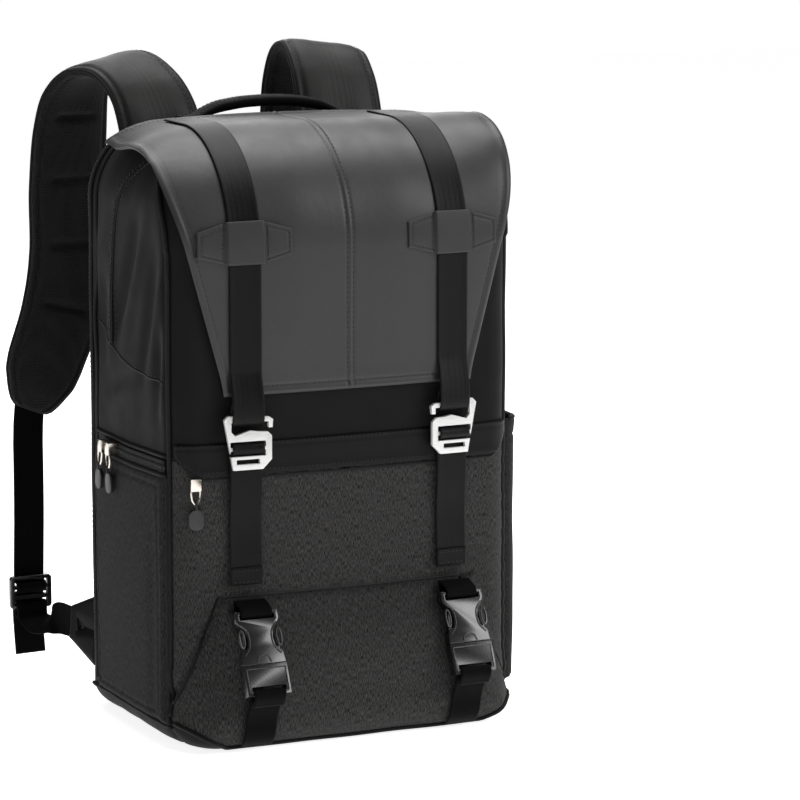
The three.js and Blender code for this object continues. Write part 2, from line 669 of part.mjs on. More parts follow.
// Webbing over the flap, down to a sewn loop round the hook's upper bar.
function flapWebbing(side) {
  const x = side * WEB.x;
  const lift = FLAP.lift + FLAP.thick + GAP + WEB.thick / 2;
  const points = [];
  const across = [];
  const add = (point, wide) => {
    points.push(point);
    across.push(wide);
  };
  for (let i = 1; i <= FLAP_ROWS - 1; i += 1) {
    const run = (i / FLAP_ROWS) * FLAP_LENGTH;
    const edge = (k) => overPoint(x + (k * WEB.width) / 2, run, lift);
    add(overPoint(x, run, lift), edge(1).sub(edge(-1)).normalize());
  }
  const wide = frontAcross(side);
  const bar = HOOK.top - 2 - HOOK.bar / 2;
  const deep = LAYER.hook - LAYER.over;
  const low = bar - HOOK.bar / 2 - SLACK - WEB.thick / 2;
  const inner = LAYER.hook + deep;
  add(vec(x, LAYER.over, FLAP.end - 3), wide);
  add(vec(x, LAYER.over, low), wide);
  add(vec(x, inner, low), wide);
  add(vec(x, inner, HOOK.top + 1.5), wide);
  add(vec(x, LAYER.over + WEB.thick + GAP, FLAP.end - 5), wide);
  return meshOf(`flap_webbing_${sideName(side)}`, ribbon(points, across, WEB.width, WEB.thick), 'webbing');
}

// The six-sided keeper that holds the webbing to the flap.
function keeper(side) {
  const columns = [
    { x: -KEEPER.half, high: KEEPER.tip }, { x: -KEEPER.shoulder, high: KEEPER.height / 2 - 0.5 },
    { x: -KEEPER.band - 1, high: KEEPER.height / 2 }, { x: -KEEPER.band + 0.5, high: KEEPER.height / 2 },
    { x: KEEPER.band - 0.5, high: KEEPER.height / 2 }, { x: KEEPER.band + 1, high: KEEPER.height / 2 },
    { x: KEEPER.shoulder, high: KEEPER.height / 2 - 0.5 }, { x: KEEPER.half, high: KEEPER.tip },
  ];
  const low = FLAP.lift + FLAP.thick + GAP;
  const step = WEB.thick + GAP;
  const run = FLAP_TOP + FLAP_ARC + BAG.height - BAG.frontTop - KEEPER.z;
  const rows = 4;
  const grid = (extra) => Array.from({ length: rows + 1 }, (_, i) => columns.map((column) => {
    const over = Math.abs(column.x) < KEEPER.band ? step : 0;
    const down = lerp(-column.high, column.high, i / rows);
    return overPoint(side * WEB.x + column.x, run + down, low + over + extra);
  }));
  const patch = sheet(grid(KEEPER.thick), grid(0));
  return meshOf(`strap_keeper_${sideName(side)}`, patch, 'leather');
}

// The open alloy hook. Its gate is on the inner side, so the two are mirror images.
function hook(side) {
  const h = HOOK;
  const out = new THREE.Shape();
  const c = h.chamfer;
  const neck = h.plateTop;
  const inner = h.half - h.gate;
  out.moveTo(-h.half + c, h.foot);
  out.lineTo(h.half - c, h.foot);
  out.lineTo(h.half, h.foot + c);
  out.lineTo(h.half, neck - 3);
  out.lineTo(h.half - 3, neck);
  out.lineTo(inner - 4, neck + 0.5);
  out.lineTo(2, neck + 1.5);
  out.lineTo(-h.half + h.arm + 3, neck - 2);
  out.lineTo(-h.half + h.arm, neck + 1);
  out.lineTo(-h.half + h.arm, h.top - 2 - h.bar);
  out.lineTo(h.half - 2.5, h.top - 2 - h.bar);
  out.lineTo(h.half - 2.5, h.top - h.gate - 3.5);
  out.lineTo(h.half + 0.5, h.top - h.gate - 3.5);
  out.lineTo(h.half + 1, h.top - 4);
  out.lineTo(h.half - 2, h.top - 2);
  out.lineTo(-h.half + 3, h.top);
  out.lineTo(-h.half, h.top - 3);
  const middle = (h.slotFoot + h.slotTop) / 2;
  const slots = [
    [h.slotHalf, h.slotFoot, middle - 1.3], [h.slotHalf, middle + 1.3, h.slotTop],
    [h.smallHalf, h.smallFoot, h.smallTop],
  ];
  const plate = slots.reduce(
    (solid, [wide, low, high]) => solid.subtract(box([-wide, -BAG.depth, low], [wide, 0, high])),
    prismAlongY(out, LAYER.hook - h.thick / 2, LAYER.hook + h.thick / 2),
  );
  const faced = side < 0 ? plate : plate.scale([-1, 1, 1]);
  const mesh = meshOf(`hook_buckle_${sideName(side)}`, faced.translate([0, -LAYER.hook, 0]), 'alloy');
  mesh.position.set(side * WEB.x, LAYER.hook, 0);
  mesh.rotation.z = -side * Math.atan(SLOPE);
  return mesh;
}

// The adjusting webbing: sewn to the band, up behind the hook, round its bar and down to a free tail.
function tailWebbing(side) {
  const x = side * WEB.x;
  const middle = (HOOK.slotFoot + HOOK.slotTop) / 2;
  const slot = (HOOK.slotTop - HOOK.slotFoot) / 4 + 0.65;
  const deep = HOOK.thick / 2 + SLACK + WEB.thick / 2;
  const high = middle + slot;
  const low = middle - slot;
  const points = [
    vec(x, LAYER.anchor, TAIL.anchor), vec(x, LAYER.anchor, high),
    vec(x, LAYER.hook - deep, high), vec(x, LAYER.hook - deep, low), vec(x, LAYER.tail, low),
    vec(x, LAYER.tail, HOOK.foot - 6), vec(x, LAYER.tail + 0.8, TAIL.anchor - 12),
    vec(x, LAYER.tail + 2.6, lerp(TAIL.anchor, TAIL.end, 0.55)), vec(x, LAYER.tail + 2, TAIL.end),
  ];
  const name = `adjusting_webbing_${sideName(side)}`;
  return meshOf(name, ribbon(points, frontAcross(side), WEB.width, WEB.thick), 'webbing');
}

// The pocket's surface at the buckles.
function pocketFace(z) {
  return frontAt(z) - crownAt(WEB.x) - swellAt(WEB.x, z);
}

// The receiving half of a side-release buckle, open at its waist, with a bar at its top for webbing.
function socketSolid() {
  const b = BUCKLE;
  const w = b.width / 2;
  const shape = polygon([
    [-w, 0], [-w, -7], [-w + 2, -10], [-b.waist - 1, -14], [-b.waist, -21], [-b.waist - 1, -27],
    [-w + 1, -31], [-w, -b.socket], [w, -b.socket], [w - 1, -31], [b.waist + 1, -27], [b.waist, -21],
    [b.waist + 1, -14], [w - 2, -10], [w, -7], [w, 0],
  ]);
  const slot = box([-w + 3.5, -b.thick, -b.bar - b.slot], [w - 3.5, b.thick, -b.bar]);
  const tongue = b.tongue / 2 + GAP;
  const cavity = box([-tongue, -2 - GAP, -b.socket - 1], [tongue, 2 + GAP, -15])
    .add(box([-w + 1.5, -2 - GAP, -b.socket - 1], [w - 1.5, 2 + GAP, -24]));
  return prismAlongY(shape, -b.thick / 2, b.thick / 2).subtract(slot).subtract(cavity);
}

// The inserted half: a tongue and two spring arms on a base with a slot for webbing.
function clipSolid() {
  const b = BUCKLE;
  const w = b.width / 2;
  const top = -b.socket - GAP;
  const foot = -b.socket - b.base;
  const arm = polygon([
    [-w + 2, top - 1], [-w + 2, -31], [-w + 2.2, -26], [-w + 3, -17], [-w + 5.2, -17],
    [-w + 2 + b.arm, -26], [-w + 2 + b.arm, -31], [-w + 2 + b.arm, top - 1],
  ]);
  const armSolid = prismAlongY(arm, -1.8, 1.8).subtract(
    box([-b.waist - 4, -b.thick, -14.5], [b.waist, b.thick, -8]),
  );
  return box([-w, -b.thick / 2, foot], [w, b.thick / 2, top])
    .subtract(box([-w + 3.5, -b.thick, foot + b.bar], [w - 3.5, b.thick, foot + b.bar + b.slot]))
    .add(box([-b.tongue / 2, -2, top - 3], [b.tongue / 2, 2, -16]))
    .add(armSolid)
    .add(armSolid.scale([-1, 1, 1]));
}

// Webbing round a buckle's bar, in the buckle's own y and z: bar at z = 0, its far end upward.
function barLoop(deep, reach) {
  const out = BUCKLE.thick / 2 + GAP + WEB.thick / 2;
  const slot = -BUCKLE.bar - BUCKLE.slot / 2;
  return [
    [deep, reach], [out, slot], [-out, slot], [-out, 1.6], [deep - WEB.thick - GAP, reach - 1],
  ];
}

// The release buckles lie on the pocket's slope: this puts a piece drawn in the buckle's frame there.
function slopeMatrix(side) {
  const lean = deg(BUCKLE.tilt);
  const up = (BUCKLE.top - BUCKLE.rest) / Math.cos(lean);
  const touch = pocketFace(BUCKLE.rest) - (BUCKLE.lift + BUCKLE.thick / 2) / Math.cos(lean);
  return new THREE.Matrix4().makeTranslation(side * WEB.x, touch, BUCKLE.rest)
    .multiply(new THREE.Matrix4().makeRotationX(-lean))
    .multiply(new THREE.Matrix4().makeTranslation(0, 0, up));
}

function placed(mesh, matrix) {
  mesh.applyMatrix4(matrix);
  return mesh;
}

function releaseBuckle(side) {
  const matrix = slopeMatrix(side);
  const name = sideName(side);
  const loop = barLoop(5.6, 11).map(([y, z]) => vec(0, y, z));
  return [
    placed(meshOf(`buckle_socket_${name}`, socketSolid(), 'plastic'), matrix),
    placed(meshOf(`buckle_clip_${name}`, clipSolid(), 'plastic'), matrix),
    placed(meshOf(`socket_webbing_${name}`, ribbon(loop, ACROSS, WEB.width, WEB.thick), 'webbing'), matrix),
  ];
}

// Webbing from the clip's bar, down the pocket and round the bag's front edge.
function baseWebbing(side) {
  const matrix = slopeMatrix(side);
  const foot = -BUCKLE.socket - BUCKLE.base;
  const out = BUCKLE.thick / 2 + GAP + WEB.thick / 2;
  const slot = foot + BUCKLE.bar + BUCKLE.slot / 2;
  const local = [[out - 2.6, foot - 7], [-out, foot - 1.6], [-out, slot], [out, slot], [out, foot - 3]];
  const points = local.map(([y, z]) => vec(0, y, z).applyMatrix4(matrix));
  const off = GAP + WEB.thick / 2 + 0.4;
  for (const z of [BASE_WEB.foot, 17, 9.5, BASE_WEB.under]) {
    points.push(vec(side * WEB.x, pocketFace(z) - off - BASE_WEB.off * (z < 12 ? 1.6 : 1), z));
  }
  return meshOf(`base_webbing_${sideName(side)}`, ribbon(points, ACROSS, WEB.width, WEB.thick), 'webbing');
}

// A closed section with softened edges: across and out are unit directions.
function padSection(centre, across, out, width, thick) {
  const a = width / 2;
  const b = thick / 2;
  const corner = Math.min(a, b) * 0.72;
  const spots = [
    [-a, -b + corner], [-a + corner, -b], [0, -b], [a - corner, -b], [a, -b + corner],
    [a, b - corner], [a - corner, b], [0, b], [-a + corner, b], [-a, b - corner],
  ];
  return spots.map(([u, v]) => centre.clone().addScaledVector(across, u).addScaledVector(out, v));
}

// Sections of a shoulder strap from its table: centre, width and outward directions.
function strapFrames(table, steps) {
  const curve = new THREE.CatmullRomCurve3(table.map((row) => vec(row.x, back + row.y, row.z)), false, 'centripetal');
  return Array.from({ length: steps + 1 }, (_, i) => {
    const share = i / steps;
    const at = share * (table.length - 1);
    const low = Math.min(Math.floor(at), table.length - 2);
    const mix = (key) => lerp(table[low][key], table[low + 1][key], at - low);
    const along = curve.getTangent(share);
    const turn = deg(mix('turn'));
    const across = vec(Math.cos(turn), Math.sin(turn), Math.sin(deg(mix('lean'))));
    across.addScaledVector(along, -across.dot(along)).normalize();
    const out = vec().crossVectors(along, across).normalize();
    return { centre: curve.getPoint(share), across, out, width: mix('width'), along };
  });
}

// Each harness side, with its strap's sections.
const HARNESS = [
  { side: -1, frames: strapFrames(STRAP_LEFT, STRAP.steps), rows: STRAP_LEFT.length - 1 },
  { side: 1, frames: strapFrames(STRAP_RIGHT, STRAP.steps), rows: STRAP_RIGHT.length - 1 },
];

function shoulderStrap({ side, frames }) {
  const last = frames.length - 1;
  const rings = frames.map((f, i) => {
    const taper = i === last ? 0.7 : 1;
    const thin = i === 0 || i === last ? 0.6 : 1;
    return padSection(f.centre, f.across, f.out, f.width * taper, STRAP.thick * thin);
  });
  return meshOf(`shoulder_strap_${sideName(side)}`, loft(rings), 'mesh');
}

// A point on the strap's outer face: off is the distance from that face.
function onStrap(frame, off, slide = 0) {
  return frame.centre.clone().addScaledVector(frame.out, -STRAP.thick / 2 - off).addScaledVector(frame.across, slide);
}

// The webbing sewn down the strap, on to the ladder lock, through it and down to a free end.
function harnessWebbing({ side, frames }) {
  const x = LOCK.x[side < 0 ? 0 : 1];
  const deep = LOCK.thick / 2 + SLACK + STRAP.webThick / 2;
  const points = frames.slice(2, -1).map((f) => onStrap(f, GAP + STRAP.webThick / 2 + 0.25));
  const across = frames.slice(2, -1).map((f) => f.across);
  const end = onStrap(frames.at(-1), 0.4 + STRAP.webThick / 2);
  points.push(end);
  across.push(frames.at(-1).across);
  const rows = [
    [0.35, LOCK.y + deep + 3, LOCK.z + 72], [0.85, LOCK.y + deep + 0.5, LOCK.z + 26],
    [1, LOCK.y + deep, LOCK.z + 7.75], [1, LOCK.y - deep, LOCK.z + 7.75],
    [1, LOCK.y - deep, LOCK.z + 0.25], [1, LOCK.y + deep, LOCK.z + 0.25],
    [1, LOCK.y + deep + 3.2, LOCK.z - 6], [1, LOCK.y + deep + 3.6, LOCK.z - 18],
    [1, LOCK.y + deep + 1, LOCK.z - 34], [0.9, LOCK.y + deep - 1, LOCK.z - 50],
  ];
  for (const [share, y, z] of rows) {
    points.push(vec(lerp(end.x, x, share), y, z));
    across.push(ACROSS);
  }
  return meshOf(`harness_webbing_${sideName(side)}`, ribbon(points, across, STRAP.web, STRAP.webThick), 'webbing');
}

function ladderLock({ side }) {
  const { width, height, thick, slot, bar, side: edge } = LOCK;
  const w = width / 2 - edge;
  const h = height / 2;
  const cut = (low) => box([-w, -thick, low], [w, thick, low + slot]);
  const plate = prismAlongY(roundedRect(-width / 2, -h, width / 2, h, 3), -thick / 2, thick / 2)
    .subtract(cut(h - bar - slot)).subtract(cut(h - 2 * bar - 2 * slot)).subtract(cut(bar - h));
  const mesh = meshOf(`ladder_lock_${sideName(side)}`, plate, 'plastic');
  mesh.position.set(LOCK.x[side < 0 ? 0 : 1], LOCK.y, LOCK.z);
  return mesh;
}

// The short webbing from a ladder lock to the wing on the bag's lower corner, and the wing.
function linkAndWing({ side }) {
  const x = LOCK.x[side < 0 ? 0 : 1];
  const deep = LOCK.thick / 2 + SLACK + STRAP.webThick / 2;
  const seam = side * (half - 7);
  const tip = vec(lerp(x, seam, 0.6), lerp(LOCK.y, back, 0.62), 57);
  const root = vec(seam, back + 2.4, 54);
  const slot = LOCK.z - LOCK.height / 2 + LOCK.bar + LOCK.slot / 2;
  const local = [
    [deep - 3, slot - 12], [deep, slot - 7], [deep, slot], [-deep, slot], [-deep, slot - 8],
  ];
  const points = local.map(([y, z]) => vec(x, LOCK.y + y, z));
  const across = local.map(() => ACROSS);
  const upright = vec(0, 0, Math.sign(seam - x));
  const turned = (share) => ACROSS.clone().multiplyScalar(1 - share).addScaledVector(upright, share).normalize();
  points.push(vec(x, LOCK.y - deep - 2, slot - 13));
  across.push(ACROSS);
  points.push(vec(lerp(x, tip.x, 0.25), lerp(LOCK.y - deep, tip.y, 0.34), slot - 17));
  across.push(turned(0.35));
  points.push(tip.clone().lerp(root, -0.6), tip.clone().lerp(root, -0.025));
  across.push(turned(0.85), upright);
  const link = ribbon(points, across, STRAP.web, STRAP.webThick);
  const wing = ribbon([tip, root], upright, [STRAP.web + 2, 58], 3.4);
  return [
    meshOf(`lock_webbing_${sideName(side)}`, link, 'webbing'),
    meshOf(`harness_wing_${sideName(side)}`, wing, 'twill'),
  ];
}

// A closed loop of wire through points that lie in one plane.
function wireLoop(points, normal, radius, sides = 6) {
  const count = points.length;
  return loft(points.map((point, i) => {
    const along = points[(i + 1) % count].clone().sub(points[(i + count - 1) % count]).normalize();
    const aside = vec().crossVectors(along, normal).normalize();
    return Array.from({ length: sides }, (_, k) => {
      const a = (2 * Math.PI * k) / sides;
      return point.clone().addScaledVector(aside, radius * Math.cos(a)).addScaledVector(normal, radius * Math.sin(a));
    });
  }), true);
}

// A D-ring on the strap's webbing, and the sewn tab that holds its straight bar.
function strapRing({ side, frames, rows }) {
  const frame = frames[Math.round((RING.row / rows) * STRAP.steps)];
  const up = frame.along.clone().negate();
  const skin = GAP + STRAP.webThick + 0.8;
  const centre = onStrap(frame, skin + RING.wire / 2 + GAP + STRAP.webThick + GAP);
  const outline = [
    [-RING.half, 0], [0, 0], [RING.half, 0], [RING.half + 1, -3], [RING.half, -9], [RING.half * 0.75, -15],
    [RING.half * 0.4, -RING.height + 1], [0, -RING.height], [-RING.half * 0.4, -RING.height + 1],
    [-RING.half * 0.75, -15], [-RING.half, -9], [-RING.half - 1, -3],
  ];
  const points = outline.map(([u, v]) => centre.clone().addScaledVector(frame.across, u).addScaledVector(up, v));
  const r = RING.wire / 2 + GAP + STRAP.webThick / 2;
  const path = [[-r, 14], [-r, -r], [r, -r], [r, r + 1], [-r + STRAP.webThick + GAP, 10]];
  const tab = path.map(([out, v]) => centre.clone().addScaledVector(frame.out, -out).addScaledVector(up, v));
  return [
    meshOf(`d_ring_${sideName(side)}`, wireLoop(points, frame.out, RING.wire / 2), 'steel'),
    meshOf(`d_ring_tab_${sideName(side)}`, ribbon(tab, frame.across, 20, STRAP.webThick), 'webbing'),
  ];
}

// The chest strap, fastened: a side-release buckle and a webbing half sewn to each shoulder strap.
function sternum() {
  const at = HARNESS.map(({ frames, rows }) => frames[Math.round((STERNUM.row / rows) * STRAP.steps)]);
  const ends = at.map((frame) => onStrap(frame, 0));
  const z = (ends[0].z + ends[1].z) / 2;
  const k = STERNUM.scale;
  const y = Math.max(ends[0].y, ends[1].y) + STERNUM.off;
  const span = (BUCKLE.socket + BUCKLE.base) * k;
  const start = STERNUM.x + span / 2;
  const matrix = new THREE.Matrix4().makeTranslation(start, y, z)
    .multiply(new THREE.Matrix4().makeRotationY(Math.PI / 2))
    .multiply(new THREE.Matrix4().makeScale(k, k, k));
  const out = (BUCKLE.thick / 2) * k + GAP + STERNUM.thick / 2;
  const slot = (BUCKLE.bar + BUCKLE.slot / 2) * k;
  const over = 2 * (GAP + STRAP.webThick) - STRAP.webThick / 2 + 0.4;
  const threaded = (i, sign, far) => {
    const bar = far - sign * slot;
    const points = [
      vec(far + sign * 7, y + out - 2, z), vec(far + sign * 1.6, y + out, z), vec(bar, y + out, z),
      vec(bar, y - out, z), vec(far + sign * 8, y - out, z),
      onStrap(at[i], STERNUM.thick + 6, -sign * 40), onStrap(at[i], over + 0.9, -sign * 32),
      onStrap(at[i], over, -sign * 20), onStrap(at[i], over, 0),
    ];
    return ribbon(points, vec(0, 0, 1), STERNUM.width * 0.96, STERNUM.thick);
  };
  return [
    placed(meshOf('sternum_socket', socketSolid(), 'plastic'), matrix),
    placed(meshOf('sternum_clip', clipSolid(), 'plastic'), matrix),
    meshOf('sternum_webbing_right', threaded(1, 1, start), 'webbing'),
    meshOf('sternum_webbing_left', threaded(0, -1, start - span), 'webbing'),
  ];
}

// The carry handle: a padded loop sewn to the top behind the flap.
function handle() {
  const h = HANDLE;
  const base = BAG.height + crownAt(h.half) + GAP;
  const rows = [
    { x: h.half + h.sewn, z: 1.4, thick: 2.6 }, { x: h.half + 4, z: 1.9, thick: 3.4 },
    { x: h.half - 4, z: 5, thick: 6 }, { x: h.half * 0.72, z: h.rise * 0.72, thick: h.thick },
    { x: h.half * 0.36, z: h.rise * 0.95, thick: h.thick }, { x: 0, z: h.rise, thick: h.thick },
  ];
  const all = [...rows.map((r) => ({ ...r, x: -r.x })), ...rows.slice(0, -1).reverse()];
  const points = all.map((r) => vec(r.x, h.y, base + r.z));
  const rings = all.map((r, i) => {
    const along = points[Math.min(i + 1, all.length - 1)].clone().sub(points[Math.max(i - 1, 0)]).normalize();
    const side = vec(0, 1, 0);
    return padSection(points[i], side, vec().crossVectors(along, side), h.width, r.thick);
  });
  return [meshOf('carry_handle', loft(rings), 'webbing')];
}

// The padded back, with the sleeve for a trolley's handle across its middle.
function backPads() {
  const p = PAD;
  const pad = (name, low, high) => {
    const step = (inset, from, to) => prismAlongY(
      roundedRect(-p.half + inset, low + inset, p.half - inset, high - inset, p.corner - inset),
      back + GAP + from, back + GAP + to,
    );
    const body = step(0, 0, p.thick - p.ease).add(step(p.ease, p.thick - p.ease - 0.1, p.thick));
    return meshOf(name, body, 'mesh');
  };
  const s = SLEEVE;
  const y = back + GAP + s.thick / 2;
  const points = [
    vec(-s.half, y, 0), vec(-s.half + 7, y, 0), vec(-s.half + 13, y + s.off, 0),
    vec(s.half - 13, y + s.off, 0), vec(s.half - 7, y, 0), vec(s.half, y, 0),
  ].map((point) => point.setZ((s.foot + s.top) / 2));
  return [
    pad('back_pad_lower', p.foot, p.low), pad('back_pad_upper', p.high, p.top),
    meshOf('trolley_sleeve', ribbon(points, vec(0, 0, 1), s.top - s.foot, s.thick), 'twill'),
  ];
}

// A loop of wire: centre, two directions in its plane with their half sizes, and the wire's radius.
function wireOval(centre, u, v, halfU, halfV, radius) {
  const points = Array.from({ length: 10 }, (_, k) => {
    const t = (2 * Math.PI * k) / 10;
    return centre.clone().addScaledVector(u, halfU * Math.cos(t)).addScaledVector(v, halfV * Math.sin(t));
  });
  return solidOf(wireLoop(points, vec().crossVectors(u, v).normalize(), radius, 4));
}

// A zip slider with its wire bail, and the rubber tab that hangs from the bail by a small link.
// spot is the middle of the bail's top, and reach how far the slider's body goes in from it.
function zipPull(name, spot, facing, spread, reach) {
  const p = PULL;
  const out = facing.clone().normalize();
  const along = vec().crossVectors(out, vec(0, 0, 1)).normalize();
  const down = vec(0, 0, -1).addScaledVector(along, spread).normalize();
  const flat = vec().crossVectors(down, out).normalize();
  const bailAt = spot.clone().addScaledVector(down, p.drop / 2 - 1.6);
  const bail = wireOval(bailAt, flat, down, p.bail, p.drop / 2, p.wire / 2);
  const linkAt = bailAt.clone().addScaledVector(down, p.drop / 2 + p.link * 0.36);
  const link = wireOval(linkAt, out, down, 1.9, p.link, 0.7);
  const tabAt = linkAt.clone().addScaledVector(down, p.link + p.tab / 2 - 0.8);
  const basis = new THREE.Matrix4().makeBasis(flat, down, vec().crossVectors(flat, down)).setPosition(tabAt);
  const shape = roundedRect(-p.tabHalf, -p.tab / 2, p.tabHalf, p.tab / 2, p.tabHalf * 0.8);
  const tab = solidOf(extrude(shape, p.thick, 2).translate(0, 0, -p.thick / 2).applyMatrix4(basis));
  const frame = new THREE.Matrix4().makeBasis(along, vec(0, 0, 1), vec().crossVectors(along, vec(0, 0, 1)));
  const depth = reach + p.wire / 2;
  frame.setPosition(spot.clone().addScaledVector(out, depth / 2 - reach));
  const body = solidOf(new THREE.BoxGeometry(p.slider[0], p.slider[1], depth).applyMatrix4(frame));
  return [
    meshOf(`${name}_slider`, body.add(bail), 'steel'),
    meshOf(`${name}_puller`, link.add(tab), 'plastic'),
  ];
}

const bag = new THREE.Group();
bag.name = 'camera_backpack';
bag.add(...bodyPanels(), ...door(), ...slipPocket(), ...band(), ...trims(), ...flap());
bag.add(...handle(), ...backPads(), ...sternum());
for (const side of [-1, 1]) {
  bag.add(flapWebbing(side), keeper(side), hook(side), tailWebbing(side));
  bag.add(...releaseBuckle(side), baseWebbing(side));
}
for (const harness of HARNESS) {
  bag.add(shoulderStrap(harness), harnessWebbing(harness), ladderLock(harness));
  bag.add(...linkAndWing(harness), ...strapRing(harness));
}

// The door's two sliders meet at its top, and the pocket's pull hangs at the band's left end.
const doorFace = -half - BAG.sideCrown - DOOR.proud - PULL.clear;
const doorReach = DOOR.proud + PULL.clear - 1;
bag.add(...zipPull('door_zip_front', vec(doorFace, 12, 211), vec(-1, 0, 0), -0.12, doorReach));
bag.add(...zipPull('door_zip_rear', vec(doorFace, 27, 211), vec(-1, 0, 0), 0.12, doorReach));
const bandFace = front - GAP - BAND.thick - PULL.clear;
bag.add(...zipPull('pocket_zip', vec(BAND.pull, bandFace, BAND.foot - 5.2), vec(0, -1, 0), 0, PULL.clear));

export default bag;
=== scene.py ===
"""A flap-top camera backpack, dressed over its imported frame.

Sizes are in millimetres, as in the part's source, and every mesh is written in metres.
"""
import logging
import math
from dataclasses import dataclass, field
from enum import Enum
from typing import Callable, Iterable, Sequence

import bmesh
import bpy
import numpy as np
from mathutils import Matrix, Vector


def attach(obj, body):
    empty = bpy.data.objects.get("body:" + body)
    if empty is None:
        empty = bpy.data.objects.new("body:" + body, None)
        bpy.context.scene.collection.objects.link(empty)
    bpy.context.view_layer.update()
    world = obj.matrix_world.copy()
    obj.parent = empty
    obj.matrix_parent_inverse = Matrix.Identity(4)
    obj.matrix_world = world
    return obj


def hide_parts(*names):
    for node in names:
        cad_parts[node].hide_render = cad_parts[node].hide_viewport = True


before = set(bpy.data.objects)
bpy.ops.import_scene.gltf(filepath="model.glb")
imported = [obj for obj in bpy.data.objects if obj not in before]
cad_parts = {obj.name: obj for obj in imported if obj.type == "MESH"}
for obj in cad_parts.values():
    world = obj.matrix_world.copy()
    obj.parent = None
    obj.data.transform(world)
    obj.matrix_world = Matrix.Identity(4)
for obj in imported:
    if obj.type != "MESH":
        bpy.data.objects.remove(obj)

Array = np.ndarray
Place = Callable[[Array, Array], Array]
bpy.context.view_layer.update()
# Metres in a millimetre, the gap between two layers, and the play of webbing round a bar.
MM = 0.001
GAP = 0.3
SLACK = 0.55
# A place inside the bag, in metres, that its outer faces turn away from.
CENTRE = Vector((0.0, 0.0, 0.2))
LOG = logging.getLogger("backpack")


class Side(Enum):
    """The two sides of the bag, by their sign along X."""

    LEFT = -1
    RIGHT = 1

    @property
    def label(self) -> str:
        """The side's name, as the frame's nodes have it."""
        return self.name.lower()


def lerp(low: float, high: float, share: float) -> float:
    """The value that lies that share of the way from low to high."""
    return low + (high - low) * share


def ease(share: Array) -> Array:
    """A soft step from 0 to 1."""
    t = np.clip(share, 0, 1)
    return t * t * (3 - 2 * t)


def ridge(distance: Array, wide: float) -> Array:
    """A soft round ridge of height 1 where the distance is 0."""
    return np.exp(-((distance / wide) ** 2))


def unit(rows: Array) -> Array:
    """Each row of an array, scaled to length 1."""
    return rows / np.maximum(np.linalg.norm(rows, axis=-1, keepdims=True), 1e-9)


def stack(*parts: Array) -> Array:
    """Coordinates joined into rows of x, y and z."""
    return np.stack(np.broadcast_arrays(*parts), axis=-1).astype(float)


def segment_distance(p: Array, q: Array, ends: Sequence[float]) -> Array:
    """Distance in a plane from points p, q to a straight seam.

    Args:
        p: first coordinates.
        q: second coordinates.
        ends: the seam's ends as (p0, q0, p1, q1).

    Returns:
        The distance of each point.
    """
    p0, q0, p1, q1 = ends
    run = (p1 - p0) ** 2 + (q1 - q0) ** 2
    t = np.clip(((p - p0) * (p1 - p0) + (q - q0) * (q1 - q0)) / run, 0, 1)
    return np.hypot(p - p0 - t * (p1 - p0), q - q0 - t * (q1 - q0))


def rounded_path(points: Array, rounds: int = 3) -> Array:
    """Cuts the corners of a path again and again, which keeps its ends.

    Args:
        points: the path's rows.
        rounds: how many times the corners are cut.

    Returns:
        The rounded path's rows.
    """
    for _ in range(rounds):
        a, b = points[:-1], points[1:]
        middle = np.stack([a * 0.75 + b * 0.25, a * 0.25 + b * 0.75], axis=1).reshape(-1, points.shape[1])
        points = np.vstack([points[:1], middle, points[-1:]])
    return points


def resampled(points: Array, step: float) -> Array:
    """A path's rows at an even spacing.

    Args:
        points: rows whose first three columns are a place.
        step: the spacing wanted.

    Returns:
        The new rows.
    """
    run = np.r_[0, np.cumsum(np.linalg.norm(np.diff(points[:, :3], axis=0), axis=1))]
    spots = np.linspace(0, run[-1], max(2, int(round(run[-1] / step)) + 1))
    return np.stack([np.interp(spots, run, column) for column in points.T], axis=1)


def grid(columns: int, rows: int, place: Place, size: tuple[float, float]) -> bmesh.types.BMesh:
    """A square grid laid over a surface, with its own UV map in metres.

    Args:
        columns: cells across.
        rows: cells along.
        place: gives the surface's points for u and v from 0 to 1.
        size: the patch's width and length.

    Returns:
        The mesh.
    """
    bm = bmesh.new()
    layer = bm.loops.layers.uv.new("cloth")
    bmesh.ops.create_grid(bm, x_segments=columns, y_segments=rows, size=0.5)
    flat = np.array([v.co[:2] for v in bm.verts]) + 0.5
    for face in bm.faces:
        for corner in face.loops:
            u, v = corner.vert.co.x + 0.5, corner.vert.co.y + 0.5
            corner[layer].uv = (u * size[0] * MM, v * size[1] * MM)
    for vert, point in zip(bm.verts, place(flat[:, 0], flat[:, 1]) * MM):
        vert.co = point
    return bm


def sweep(rings: Array, closed: bool = False) -> bmesh.types.BMesh:
    """A skin over rings of points, each ring closed on itself.

    Args:
        rings: an array of rings, points and coordinates.
        closed: whether the last ring meets the first.

    Returns:
        The closed mesh, with UVs round the ring and along the sweep in metres.
    """
    if closed:
        rings = np.concatenate([rings, rings[:1]])
    count, sides = rings.shape[:2]
    girth = np.linalg.norm(np.diff(rings[count // 2], axis=0), axis=1).sum()
    length = np.linalg.norm(np.diff(rings.mean(axis=1), axis=0), axis=1).sum()

    def place(u: Array, v: Array) -> Array:
        """The ring point for each cell corner."""
        row = np.rint(v * (count - 1)).astype(int)
        return rings[row, np.rint(u * sides).astype(int) % sides]

    bm = grid(sides, count - 1, place, (girth, length))
    bmesh.ops.remove_doubles(bm, verts=bm.verts, dist=1e-7)
    if not closed:
        bmesh.ops.holes_fill(bm, edges=[e for e in bm.edges if e.is_boundary], sides=0)
    bmesh.ops.recalc_face_normals(bm, faces=bm.faces)
    return bm


